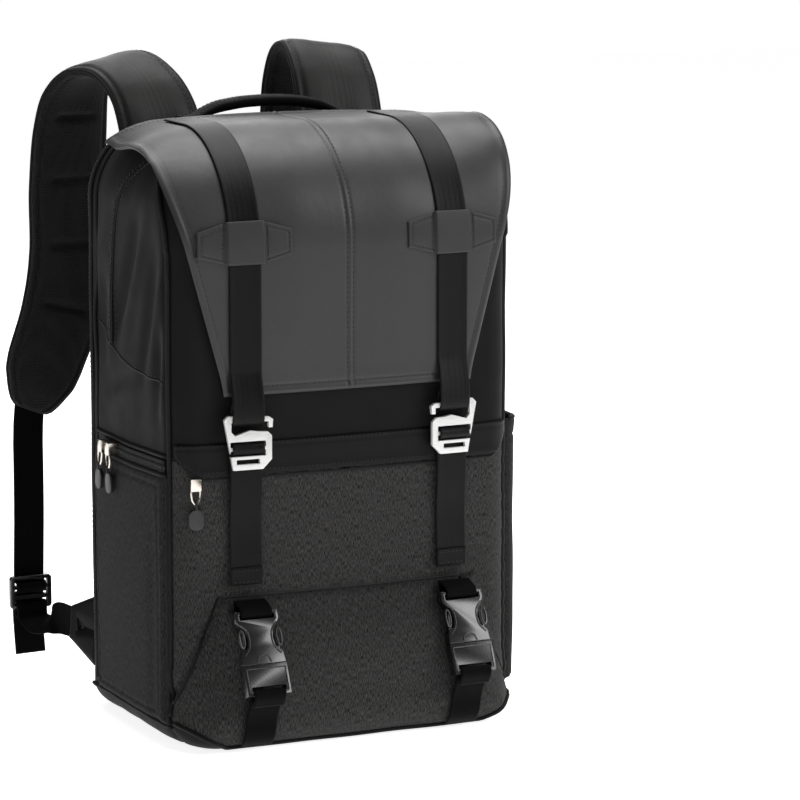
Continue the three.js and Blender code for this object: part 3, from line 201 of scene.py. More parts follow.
def frames_along(points: Array, wide: Array) -> tuple[Array, Array, Array]:
    """Directions at each point of a path.

    Args:
        points: the path.
        wide: the wanted sideways direction at each point.

    Returns:
        The unit directions along the path, sideways and outward.
    """
    along = unit(np.gradient(points, axis=0))
    side = unit(wide - along * np.sum(wide * along, axis=1, keepdims=True))
    return along, side, np.cross(along, side)


def rings_along(points: Array, side: Array, out: Array, across: Array, up: Array) -> Array:
    """Sections along a path, from their places sideways and outward."""
    return points[:, None] + side[:, None] * across[..., None] + out[:, None] * up[..., None]


def web_section(width: float, thick: float) -> list[tuple[float, float]]:
    """The section of a woven tape, a little thicker along its two selvedges."""
    a, b = width / 2, thick / 2
    lip = b * 1.12
    half = [(-a + 0.35, -b * 0.8), (-a + 1.1, -lip), (-a + 2.0, -b * 0.94), (-a / 3, -b * 0.94)]
    low = half + [(-u, v) for u, v in reversed(half)]
    return [(-a, 0.0)] + low + [(a, 0.0)] + [(-u, -v) for u, v in low]


def tape(points: Sequence, across: Sequence, width: float | Sequence[float], thick: float,
         rounds: int = 3, step: float = 2.2) -> bmesh.types.BMesh:
    """Woven tape along a path.

    Args:
        points: the corners of its path.
        across: its sideways direction, one or one for each corner.
        width: its width, one or one for each corner.
        thick: its thickness.
        rounds: how many times the corners are rounded.
        step: spacing of its sections.

    Returns:
        The closed mesh.
    """
    spots = np.array(points, float)
    wide = np.broadcast_to(np.array(across, float), spots.shape)
    size = np.broadcast_to(np.array(width, float), len(spots))[:, None]
    rows = resampled(rounded_path(np.hstack([spots, wide, size]), rounds), step)
    _, side, out = frames_along(rows[:, :3], rows[:, 3:6])
    section = np.array(web_section(2.0, thick))
    a = section[:, 0] * rows[:, 6:7] / 2
    edge = np.array(web_section(25.0, thick))[:, 0] - section[:, 0] * 12.5
    return sweep(rings_along(rows[:, :3], side, out, a + edge, section[:, 1]))


def wire(points: Array, radius: float | Array, sides: int = 8, closed: bool = False) -> bmesh.types.BMesh:
    """A round wire, cord or welt along a path.

    Args:
        points: its centre line.
        radius: its radius, one or one for each point.
        sides: faces round it.
        closed: whether it closes on itself.

    Returns:
        The closed mesh.
    """
    if closed:
        along = unit(np.roll(points, -1, axis=0) - np.roll(points, 1, axis=0))
    else:
        along = unit(np.gradient(points, axis=0))
    side = np.zeros_like(along)
    side[0] = unit(np.cross(along[0], [0.31, 0.52, 0.79]))
    for i in range(1, len(points)):
        side[i] = unit(side[i - 1] - along[i] * (side[i - 1] @ along[i]))
    if closed:
        lost = side[-1] - along[0] * (side[-1] @ along[0])
        twist = math.atan2(lost @ np.cross(along[0], side[0]), lost @ side[0])
        turn = -twist * np.arange(len(points))[:, None] / len(points)
        side = side * np.cos(turn) + np.cross(along, side) * np.sin(turn)
    out = np.cross(along, side)
    a = np.linspace(0, 2 * math.pi, sides, endpoint=False)
    r = np.broadcast_to(np.array(radius, float), len(points))[:, None]
    return sweep(rings_along(points, side, out, r * np.cos(a), r * np.sin(a)), closed)


def piece(name: str, bm: bmesh.types.BMesh, look: bpy.types.Material, nodes: Iterable[str] = (),
          wall: float = 0.0, away: Vector | None = None) -> bpy.types.Object:
    """Makes a finished object from a mesh and hangs it on the bag.

    Args:
        name: the piece's name.
        bm: its mesh, which is used up.
        look: its material.
        nodes: the frame's nodes that it stands for.
        wall: the thickness of a sheet, grown inward from its outer face.
        away: a point that an open sheet faces away from.

    Returns:
        The object.
    """
    if away is not None:
        bm.normal_update()
        lean = sum(f.normal.dot(f.calc_center_median() - away) * f.calc_area() for f in bm.faces)
        if lean < 0:
            bmesh.ops.reverse_faces(bm, faces=bm.faces)
    for face in bm.faces:
        face.smooth = True
    mesh = bpy.data.meshes.new(name)
    bm.to_mesh(mesh)
    bm.free()
    thing = bpy.data.objects.new(name, mesh)
    bpy.context.scene.collection.objects.link(thing)
    mesh.materials.append(look)
    if wall:
        cloth = thing.modifiers.new("wall", "SOLIDIFY")
        cloth.thickness = wall * MM
        cloth.offset = -1
        cloth.use_even_offset = False
    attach(thing, "root")
    if nodes:
        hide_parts(*nodes)
    LOG.info("%s: %d faces", name, len(mesh.polygons))
    return thing


def rounded_edges(thing: bpy.types.Object, width: float, segments: int, angle: float = 35) -> None:
    """Softens a moulded piece's sharp edges with a live bevel."""
    bevel = thing.modifiers.new("edges", "BEVEL")
    bevel.width = width * MM
    bevel.segments = segments
    bevel.limit_method = "ANGLE"
    bevel.angle_limit = math.radians(angle)
    bevel.harden_normals = True


def moulded(node: str, look: bpy.types.Material, width: float, segments: int) -> None:
    """A hard piece from a merged copy of its frame node, with its edges rounded.

    Args:
        node: the frame's node.
        look: the material.
        width: the bevel's width.
        segments: the bevel's segments.
    """
    bm = bmesh.new()
    bm.from_mesh(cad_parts[node].data)
    bmesh.ops.remove_doubles(bm, verts=bm.verts, dist=2e-6)
    bmesh.ops.dissolve_limit(bm, angle_limit=math.radians(1.5), verts=bm.verts, edges=bm.edges)
    rounded_edges(piece(f"{node}_moulding", bm, look, (node,)), width, segments)


@dataclass
class Thread:
    """Rows of stitches, gathered into one piece."""

    length: float = 2.6
    space: float = 1.5
    radius: float = 0.34
    mesh: bmesh.types.BMesh = field(default_factory=bmesh.new)

    def run(self, points: Array, normals: Array | None = None) -> None:
        """Sews a row of stitches along a path.

        Args:
            points: the path, on the cloth's face.
            normals: the cloth's outward directions there, to sink the stitches a little.
        """
        pitch = self.length + self.space
        rows = points if normals is None else np.hstack([points, normals])
        rows = resampled(rows, pitch / 4)
        for i in range(0, len(rows) - 3, 4):
            a, b = Vector(rows[i, :3]), Vector(rows[i + 3, :3])
            along = b - a
            if along.length < 1e-6:
                continue
            turn = along.to_track_quat("X", "Z").to_matrix().to_4x4()
            shape = Matrix.Diagonal((self.length / 2 * MM, self.radius * MM, self.radius * MM, 1))
            place = Matrix.Translation((a + b) / 2 * MM)
            bmesh.ops.create_icosphere(self.mesh, subdivisions=1, radius=1, matrix=place @ turn @ shape)

    def finish(self, name: str, look: bpy.types.Material, slot: str) -> bpy.types.Object:
        """Makes the gathered stitches one piece of that name and finish; the slot is not used."""
        return piece(name, self.mesh, look)


class NodeBench:
    """Lays out one material's nodes."""

    def __init__(self, name: str, rough: float, **settings: object) -> None:
        """Starts a material with that name, roughness and other values for the shader."""
        self.material = bpy.data.materials.new(name)
        self.material.use_nodes = True
        self.tree = self.material.node_tree
        self.shader = self.tree.nodes["Principled BSDF"]
        for key, value in {"Roughness": rough, **settings}.items():
            self.shader.inputs[key.replace("_", " ")].default_value = value
        self.coords = self.tree.nodes.new("ShaderNodeTexCoord")

    def node(self, kind: str, inputs: dict | None = None, **settings: object) -> bpy.types.Node:
        """Adds a node.

        Args:
            kind: its type, without the ShaderNode prefix.
            inputs: values or sockets for its inputs, by name or number.
            settings: values for its own properties.

        Returns:
            The node.
        """
        made = self.tree.nodes.new(f"ShaderNode{kind}")
        for key, value in settings.items():
            setattr(made, key, value)
        for key, value in (inputs or {}).items():
            if isinstance(value, bpy.types.NodeSocket):
                self.tree.links.new(value, made.inputs[key])
            else:
                made.inputs[key].default_value = value
        return made

    def spot(self, source: str, scale: Sequence[float] = (1, 1, 1),
             turn: float = 0.0) -> bpy.types.NodeSocket:
        """Coordinates from the UV map or the object, stretched and turned about Z."""
        spin = (0, 0, math.radians(turn))
        given = {"Vector": self.coords.outputs[source], "Scale": scale, "Rotation": spin}
        return self.node("Mapping", given).outputs["Vector"]

    def noise(self, where: bpy.types.NodeSocket, scale: float, detail: float = 3.0) -> bpy.types.NodeSocket:
        """A cloudy pattern between 0 and 1."""
        return self.node("TexNoise", {"Vector": where, "Scale": scale, "Detail": detail}).outputs["Fac"]

    def bands(self, where: bpy.types.NodeSocket, pitch: float, axis: str,
              warp: float) -> bpy.types.NodeSocket:
        """Even ribs of that pitch in metres across one axis of the coordinates."""
        scale = 2 * math.pi / (20 * pitch)
        given = {"Vector": where, "Scale": scale, "Distortion": warp, "Detail": 1.0, "Detail Scale": 1.5}
        return self.node("TexWave", given, bands_direction=axis).outputs["Fac"]

    def maths(self, how: str, a: object, b: object) -> bpy.types.NodeSocket:
        """One sum on values or sockets."""
        return self.node("Math", {0: a, 1: b}, operation=how).outputs[0]

    def mixture(self, *parts: tuple[bpy.types.NodeSocket, float]) -> bpy.types.NodeSocket:
        """The sum of sockets, each times its weight."""
        total, *others = [self.maths("MULTIPLY", socket, weight) for socket, weight in parts]
        for other in others:
            total = self.maths("ADD", total, other)
        return total

    def span(self, share: bpy.types.NodeSocket, low: float, wide: float) -> bpy.types.NodeSocket:
        """Values from low upward over that width, by a share."""
        return self.maths("ADD", self.maths("MULTIPLY", share, wide), low)

    def blend(self, share: object, low: Sequence[float], high: Sequence[float]) -> bpy.types.NodeSocket:
        """A colour between two, by a share."""
        given = {"Factor": share, 6: (*low, 1.0), 7: (*high, 1.0)}
        return self.node("Mix", given, data_type="RGBA").outputs[2]

    def ramp(self, share: bpy.types.NodeSocket, low: float, high: float) -> bpy.types.NodeSocket:
        """Stretches the part between two values over 0 to 1."""
        given = {"Value": share, "From Min": low, "From Max": high}
        return self.node("MapRange", given).outputs["Result"]

    def relief(self, height: bpy.types.NodeSocket, depth: float, strength: float = 1.0,
               below: bpy.types.NodeSocket | None = None) -> bpy.types.NodeSocket:
        """Bumps of that depth in metres, over another bump if one is given."""
        given = {"Height": height, "Distance": depth, "Strength": strength}
        if below is not None:
            given["Normal"] = below
        return self.node("Bump", given).outputs["Normal"]

    def finish(self, colour: bpy.types.NodeSocket, normal: bpy.types.NodeSocket,
               rough: bpy.types.NodeSocket | None = None) -> bpy.types.Material:
        """Joins the colour, the relief and maybe the roughness to the shader."""
        self.tree.links.new(colour, self.shader.inputs["Base Color"])
        self.tree.links.new(normal, self.shader.inputs["Normal"])
        if rough is not None:
            self.tree.links.new(rough, self.shader.inputs["Roughness"])
        return self.material


def grey(level: float, warmth: float) -> tuple[float, float, float]:
    """A near-black dye in linear light, from its level on a screen from 0 to 255."""
    value = level / 255
    light = value / 12.92 if value <= 0.04045 else ((value + 0.055) / 1.055) ** 2.4
    return (light * (1 + warmth), light, light * (1 - 0.6 * warmth))


@dataclass(frozen=True)
class Twill:
    """Cloth woven with diagonal ribs.

    Sizes are in metres; level is the dye's shade on a screen.
    """

    name: str
    level: float
    rough: float
    sheen: float = 0.03
    pitch: float = 0.0011
    depth: float = 0.00012
    tilt: float = 0.0
    warmth: float = 0.0
    specular: float = 0.2
    crinkle: float = 0.0005

    def build(self) -> bpy.types.Material:
        """The cloth's material, on its own UV map."""
        bench = NodeBench(self.name, self.rough, Sheen_Weight=self.sheen, Sheen_Roughness=0.4,
                          Specular_IOR_Level=self.specular)
        flat = bench.spot("UV", turn=self.tilt)
        ribs = bench.bands(flat, self.pitch / math.sqrt(2), "DIAGONAL", 0.12)
        cloud = bench.noise(bench.spot("UV"), 55, 4)
        fibre = bench.noise(bench.spot("UV", (900, 260, 1), 45 + self.tilt), 1.0, 2)
        # The rib valleys come out darker in the colour, as painted shade; the fibre noise is the cloth's own
        # uneven tone.
        shade = bench.mixture((ribs, 0.45), (fibre, 0.55))
        colour = bench.blend(shade, grey(self.level * 0.8, self.warmth), grey(self.level * 1.2, self.warmth))
        rough = bench.span(bench.ramp(cloud, 0.3, 0.75), self.rough - 0.05, 0.1)
        soft = bench.relief(cloud, self.crinkle, 0.5)
        normal = bench.relief(shade, self.depth, 0.7, soft)
        return bench.finish(colour, normal, rough)


@dataclass(frozen=True)
class Heather:
    """Plain weave of dark and pale yarns, flecked both ways."""

    name: str
    dark: float
    pale: float
    rough: float = 0.85
    warmth: float = 0.03
    pitch: float = 0.0009

    def build(self) -> bpy.types.Material:
        """The cloth's material, on its own UV map."""
        bench = NodeBench(self.name, self.rough, Sheen_Weight=0.03, Sheen_Roughness=0.5,
                          Specular_IOR_Level=0.1)
        warp = bench.noise(bench.spot("UV", (2300, 330, 1)), 1.0, 2)
        weft = bench.noise(bench.spot("UV", (800, 3000, 1)), 1.0, 2)
        fleck = bench.noise(bench.spot("UV", (3800, 1900, 1)), 1.0, 1)
        slub = bench.noise(bench.spot("UV", (1800, 150, 1)), 1.0, 2)
        yarn = bench.mixture((warp, 0.76), (weft, 0.24))
        mixed = bench.mixture((bench.mixture((yarn, 0.82), (fleck, 0.18)), 0.8), (slub, 0.2))
        share = bench.ramp(mixed, 0.42, 0.64)
        colour = bench.blend(share, grey(self.dark, self.warmth), grey(self.pale, self.warmth))
        over = bench.bands(bench.spot("UV"), self.pitch, "X", 0.3)
        under = bench.bands(bench.spot("UV"), self.pitch, "Y", 0.3)
        height = bench.mixture((bench.mixture((over, 0.5), (under, 0.5)), 0.2), (share, 0.5))
        soft = bench.relief(bench.noise(bench.spot("UV"), 45, 3), 0.0006, 0.5)
        return bench.finish(colour, bench.relief(height, 0.0002, 0.8, soft))


@dataclass(frozen=True)
class Webbing:
    """Woven tape with ribs across it and twin rows of warp down it."""

    name: str
    level: float
    rough: float
    pitch: float = 0.0009
    rows: float = 0.0016
    sheen: float = 0.03
    specular: float = 0.2

    def build(self) -> bpy.types.Material:
        """The tape's material, on its own UV map: u round it and v along it."""
        bench = NodeBench(self.name, self.rough, Sheen_Weight=self.sheen, Sheen_Roughness=0.35,
                          Specular_IOR_Level=self.specular)
        flat = bench.spot("UV")
        ribs = bench.bands(flat, self.pitch, "Y", 0.25)
        warp = bench.bands(flat, self.rows, "X", 0.15)
        yarn = bench.noise(bench.spot("UV", (1300, 420, 1)), 1.0, 2)
        height = bench.mixture((ribs, 0.55), (warp, 0.3), (yarn, 0.25))
        # The rib and warp grooves are painted darker, as painted shade in them; the yarn noise is the tape's
        # own uneven tone.
        colour = bench.blend(height, grey(self.level * 0.72, 0), grey(self.level * 1.25, 0))
        return bench.finish(colour, bench.relief(height, 0.00016, 0.7))


@dataclass(frozen=True)
class Spacer:
    """Knitted spacer mesh: a soft open knit with rows of small holes."""

    name: str
    level: float
    hole: float

    def build(self) -> bpy.types.Material:
        """The knit's material, on object coordinates."""
        bench = NodeBench(self.name, 0.95, Sheen_Weight=0.05, Sheen_Roughness=0.6, Specular_IOR_Level=0.1)
        where = bench.spot("Object")
        cells = bench.node("TexVoronoi", {"Vector": where, "Scale": 1 / self.hole, "Randomness": 0.25})
        holes = bench.ramp(cells.outputs["Distance"], 0.12, 0.5)
        fuzz = bench.noise(where, 900, 3)
        height = bench.mixture((holes, 0.8), (fuzz, 0.3))
        # The holes are painted darker than the knit round them, as painted shade inside them; the fuzz is the
        # knit's own uneven tone.
        colour = bench.blend(height, grey(self.level * 0.55, 0), grey(self.level * 1.2, 0))
        return bench.finish(colour, bench.relief(height, 0.0006, 0.8))


@dataclass(frozen=True)
class Moulded:
    """Moulded plastic, rubber or rubberised leather with a fine grain."""

    name: str
    level: float
    rough: float
    grain: float = 1400.0
    depth: float = 0.00005
    coat: float = 0.0
    warmth: float = 0.0
    specular: float = 0.5

    def build(self) -> bpy.types.Material:
        """The material, on object coordinates."""
        bench = NodeBench(self.name, self.rough, Coat_Weight=self.coat, Coat_Roughness=0.18,
                          Specular_IOR_Level=self.specular)
        where = bench.spot("Object")
        fine = bench.noise(where, self.grain, 3)
        broad = bench.noise(where, 70, 3)
        low, high = (grey(self.level * share, self.warmth) for share in (0.85, 1.15))
        colour = bench.blend(bench.mixture((fine, 0.4), (broad, 0.6)), low, high)
        rough = bench.span(broad, self.rough - 0.08, 0.16)
        return bench.finish(colour, bench.relief(fine, self.depth, 0.6), rough)


@dataclass(frozen=True)
class Metal:
    """Cast or drawn metal, blasted or polished, with slight handling marks."""

    name: str
    colour: tuple[float, float, float]
    metallic: float
    rough: float
    depth: float = 0.00003

    def build(self) -> bpy.types.Material:
        """The material, on object coordinates."""
        bench = NodeBench(self.name, self.rough, Metallic=self.metallic)
        blast = bench.noise(bench.spot("Object"), 2600, 2)
        marks = bench.ramp(bench.noise(bench.spot("Object", (90, 90, 900)), 1.0, 3), 0.35, 0.7)
        dull = tuple(c * 0.9 for c in self.colour)
        colour = bench.blend(marks, dull, self.colour)
        rough = bench.span(marks, self.rough - 0.06, 0.12)
        return bench.finish(colour, bench.relief(blast, self.depth, 0.5), rough)


class Finishes:
    """Every finish of the bag, built once."""

    def __init__(self) -> None:
        """Builds the materials."""
        self.twill = Twill("black_twill", 19, 0.62, warmth=0.03, specular=0.08).build()
        self.strap_twill = Twill("strap_twill", 30, 0.5, warmth=0.06, pitch=0.0013, tilt=45).build()
        self.coated = Twill("coated_twill", 44, 0.44, sheen=0.02, depth=0.00009, specular=0.36).build()
        self.band = Twill("band_twill", 14, 0.5, depth=0.00006, specular=0.12).build()
        self.heather = Heather("heather_cloth", 12, 77).build()
        # The same heather cloth made darker for the side panels, door and slip pocket: painted shade for
        # sides that turn away from the light, not a different cloth.
        self.heather_painted_shade = Heather("heather_cloth_painted_shade", 9, 56).build()
        self.webbing = Webbing("black_webbing", 5, 0.62, specular=0.05).build()
        self.glossy_webbing = Webbing("satin_webbing", 6, 0.4, specular=0.14).build()
        self.binding = Webbing("black_binding", 17, 0.7).build()
        self.thread = Moulded("black_thread", 40, 0.6, depth=0.00002).build()
        self.dark_thread = Moulded("dark_thread", 20, 0.7, depth=0.00002).build()
        self.leather = Moulded("keeper_leather", 44, 0.5, 1700, 0.00009, warmth=0.01, specular=0.3).build()
        self.rubber = Moulded("puller_rubber", 16, 0.42, depth=0.00003).build()
        self.gloss = Moulded("gloss_plastic", 13, 0.26, 700, 0.00001, coat=0.5).build()
        self.zip_coil = Moulded("zip_coil", 26, 0.4, depth=0.00002).build()
        self.alloy = Metal("painted_alloy", (0.74, 0.74, 0.73), 0.15, 0.36).build()
        self.steel = Metal("polished_steel", (0.66, 0.61, 0.55), 1.0, 0.22).build()
        self.knit = Spacer("strap_knit", 26, 0.0021).build()
        self.air_mesh = Spacer("back_air_mesh", 30, 0.0034).build()


@dataclass(frozen=True)
class BagForm:
    """The bag's outer shape, with the sizes of the part's source."""

    width: float = 277
    depth: float = 176
    height: float = 446
    top_corner: float = 52
    base_corner: float = 18
    front_top: float = 78
    front_base: float = 26
    back_edge: float = 16
    plan_front: float = 22
    plan_front_top: float = 12
    plan_back: float = 12
    crown: float = 5
    side_crown: float = 3
    pocket_top: float = 113
    pocket_top_half: float = 100
    pocket_foot_half: float = 142
    pocket_foot: float = 16
    slant_left: tuple[float, float] = (103, 146)
    slant_right: tuple[float, float] = (92, 138)
    front_foot: float = 3.5
    foot_half: float = 104.5
    foot_run: float = 24
    foot_rise: float = 12.5
    web_place: float = 83.5
    swell: float = 28
    ramp_down: float = 58
    ramp_side: float = 30
    seam_front: float = -76
    seam_gusset: float = 61
    seam_back: float = 80
    seam_base: float = 16
    side_top: float = 218
    front_seam: float = 216
    door_top: float = 204
    strip: float = 12
    top_middle: float = 31

    @property
    def half(self) -> float:
        """Half the width."""
        return self.width / 2

    @property
    def front(self) -> float:
        """Where the front is, along Y."""
        return -self.depth / 2

    @property
    def back(self) -> float:
        """Where the back is, along Y."""
        return self.depth / 2

    @property
    def bend(self) -> float:
        """The height at which the front starts to round over."""
        return self.height - self.front_top

    @property
    def strip_reach(self) -> float:
        """Radius of the seam that curves over the top of the side."""
        return self.front_top - self.strip

    @property
    def strip_hub(self) -> float:
        """The middle of that curve, along Y."""
        return self.seam_front + self.strip_reach

    @staticmethod
    def drawn_in(radius: float, below: Array) -> Array:
        """How far a rounded edge has drawn in at a depth below its end."""
        inside = np.clip(radius**2 - (radius - below) ** 2, 0, None)
        return np.where(below >= radius, 0, radius - np.sqrt(inside))

    def half_width(self, z: Array) -> Array:
        """Half the width at a height."""
        over = self.drawn_in(self.top_corner, self.height - z)
        return self.half - over - self.drawn_in(self.base_corner, z)

    def front_at(self, z: Array) -> Array:
        """The front's place along Y at a height."""
        return self.front + self.drawn_in(self.front_top, self.height - z) + self.drawn_in(self.front_base, z)

    def back_at(self, z: Array) -> Array:
        """The back's place along Y at a height."""
        return self.back - self.drawn_in(self.back_edge, self.height - z) - self.drawn_in(self.back_edge, z)

    def crown_at(self, x: Array) -> Array:
        """The crown of the front and top at a place across."""
        return self.crown * np.clip(1 - (x / self.half) ** 2, 0, None)

    def swell_at(self, x: Array, z: Array) -> Array:
        """How far the lower pocket swells forward."""
        rise = self.pocket_top - self.pocket_foot
        run = self.pocket_foot_half - self.pocket_top_half
        edge = self.pocket_top_half + run * (self.pocket_top - z) / rise
        inside = (edge - np.abs(x)) * rise / math.hypot(rise, run)
        share = np.minimum(np.minimum((self.pocket_top - z) / self.ramp_down, inside / self.ramp_side), 1)
        return self.swell * np.sin(np.clip(share, 0, 1) * math.pi / 2)

    def height_at(self, level: Array) -> Array:
        """A height for a level from 0 to 3: base edge, straight wall, top edge."""
        low = self.front_base * (1 - np.cos(np.clip(level, 0, 1) * math.pi / 2))
        wall = lerp(self.front_base, self.bend, level - 1)
        top = self.bend + self.front_top * np.sin(np.clip(level - 2, 0, 1) * math.pi / 2)
        return np.where(level < 1, low, np.where(level < 2, wall, top))

    def point(self, turn: Array, level: Array) -> Array:
        """Points of the outer surface.

        Args:
            turn: -5 to 5 round the plan from the front's middle; 1 to 2 and 3 to 4 are its corners.
            level: 0 to 3 up the height.

        Returns:
            The points, in rows.
        """
        turn, level = np.broadcast_arrays(np.asarray(turn, float), np.asarray(level, float))
        z = self.height_at(level)
        side = np.where(turn < 0, -1.0, 1.0)
        t = np.abs(turn)
        wide, near, far = self.half_width(z), self.front_at(z), self.back_at(z)
        plan = lerp(self.plan_front, self.plan_front_top, np.clip((level - 2.4) / 0.6, 0, 1))
        a = np.clip(t - 1, 0, 1) * math.pi / 2
        b = np.clip(t - 3, 0, 1) * math.pi / 2
        pb = self.plan_back
        bulge = self.side_crown * np.sin(np.clip(t - 2, 0, 1) * math.pi)
        bulge = bulge * np.sin(np.clip(z / self.height, 0, 1) * math.pi)
        cases = [t <= 1, t <= 2, t <= 3, t <= 4]
        x = np.select(cases, [t * (wide - plan), wide - plan + plan * np.sin(a), wide + bulge,
                              wide - pb + pb * np.cos(b)], (wide - pb) * (5 - t))
        y = np.select(cases, [near, near + plan - plan * np.cos(a), lerp(near + plan, far - pb, t - 2),
                              far - pb + pb * np.sin(b)], far)
        lift = self.crown_at(x) * np.minimum(level, 1)
        rise = np.clip(level - 2, 0, 1) * math.pi / 2
        held = np.where(t <= 1, 1.0, np.cos(a))
        ahead = np.where(t < 2, lift * np.cos(rise) + self.swell_at(x, z) * held, 0)
        return stack(side * x, y - ahead, z + lift * np.sin(rise))

    def level_of(self, z: Array) -> Array:
        """The level at a height."""
        z = np.asarray(z, float)
        low = np.arccos(np.clip(1 - z / self.front_base, -1, 1)) * 2 / math.pi
        wall = 1 + (z - self.front_base) / (self.bend - self.front_base)
        top = 2 + np.arcsin(np.clip((z - self.bend) / self.front_top, 0, 1)) * 2 / math.pi
        return np.where(z < self.front_base, low, np.where(z < self.bend, wall, top))

    def skin(self, turn: Array, level: Array) -> tuple[Array, Array]:
        """Points of the outer surface and their outward directions."""
        step = 1e-3
        up = self.point(turn, np.clip(level + step, 0, 3)) - self.point(turn, np.clip(level - step, 0, 3))
        wrapped = np.where(turn + step > 5, turn + step - 10, turn + step)
        along = self.point(wrapped, level) - self.point(turn - step, level)
        return self.point(turn, level), unit(np.cross(along, up))

    def turn_at(self, y: Array, z: Array) -> Array:
        """The turn at which the side wall or front corner is at a place along Y."""
        near, far = self.front_at(z), self.back_at(z)
        flat = (y - near - self.plan_front) / (far - self.plan_back - near - self.plan_front)
        bent = np.arccos(np.clip((near + self.plan_front - y) / self.plan_front, -1, 1)) * 2 / math.pi
        behind = np.arcsin(np.clip((y - far + self.plan_back) / self.plan_back, 0, 1)) * 2 / math.pi
        return np.where(flat < 0, 1 + bent, np.where(flat > 1, 3 + behind, 2 + flat))

    def front_turn(self, x: Array, z: Array) -> Array:
        """The turn at which the front or its corners are at a place across."""
        wide = self.half_width(z) - self.plan_front
        bent = np.arcsin(np.clip((np.abs(x) - wide) / self.plan_front, 0, 1)) * 2 / math.pi
        return np.sign(x) * np.where(np.abs(x) <= wide, np.abs(x) / wide, 1 + bent)

    def slants(self) -> list[tuple[int, float, float]]:
        """The pocket's slanting seams: their side, and their places across at the top and foot."""
        return [(-1, *self.slant_left), (1, *self.slant_right)]


FORM = BagForm()


@dataclass(frozen=True)
class Fold:
    """A soft crease of the side cloth, from its top to its foot in Y and Z."""

    top: tuple[float, float]
    foot: tuple[float, float]
    depth: float
    wide: float

    def dent(self, y: Array, z: Array) -> Array:
        """How deep the cloth lies in at a place on the side."""
        dy, dz = self.foot[0] - self.top[0], self.foot[1] - self.top[1]
        run = math.hypot(dy, dz)
        along = ((y - self.top[0]) * dy + (z - self.top[1]) * dz) / run**2
        away = ((y - self.top[0]) * dz - (z - self.top[1]) * dy) / run / self.wide
        fade = np.sin(math.pi * np.clip(along, 0, 1))
        return self.depth * fade * (ridge(away, 1) - 0.55 * ridge(away - 1.7, 1))


LEFT_FOLDS = (
    Fold((-34, 404), (22, 284), 4.0, 9),
    Fold((-62, 372), (-30, 262), 3.4, 8),
    Fold((40, 352), (46, 262), 2.2, 9),
    Fold((-66, 320), (-58, 236), 2.2, 6),
    Fold((-20, 276), (44, 250), 1.4, 7),
)


def ripples(x: Array, y: Array, z: Array, seed: int, size: float = 46) -> Array:
    """Gentle unevenness of cloth: a few long waves with seeded directions.

    Args:
        x: first coordinate.
        y: second coordinate.
        z: third coordinate.
        seed: picks the waves.
        size: their length.

    Returns:
        Heights between about -1 and 1.
    """
    rng = np.random.default_rng(seed)
    total = np.zeros(np.broadcast(x, y, z).shape)
    for _ in range(7):
        way = rng.normal(size=3)
        way = way / np.linalg.norm(way) * 2 * math.pi / (size * rng.uniform(0.7, 1.9))
        total = total + np.sin(x * way[0] + y * way[1] + z * way[2] + rng.uniform(0, 6.3)) / 7
    return total * 1.6


def pucker(along: Array, away: Array, reach: float = 7, pitch: float = 9) -> Array:
    """Small gathers beside a seam, fading with the distance from it."""
    wave = np.sin(along * 2 * math.pi / pitch) + 0.6 * np.sin(along * 2 * math.pi / (pitch * 1.7) + 1.3)
    return wave * ridge(away, reach) * 0.5


def plane(axis: str, at: float, way: int) -> tuple[Vector, Vector]:
    """The plane square to an axis at a place along it, facing up the axis or down."""
    along = Vector([float(name == axis) for name in "xyz"])
    return along * at, along * way


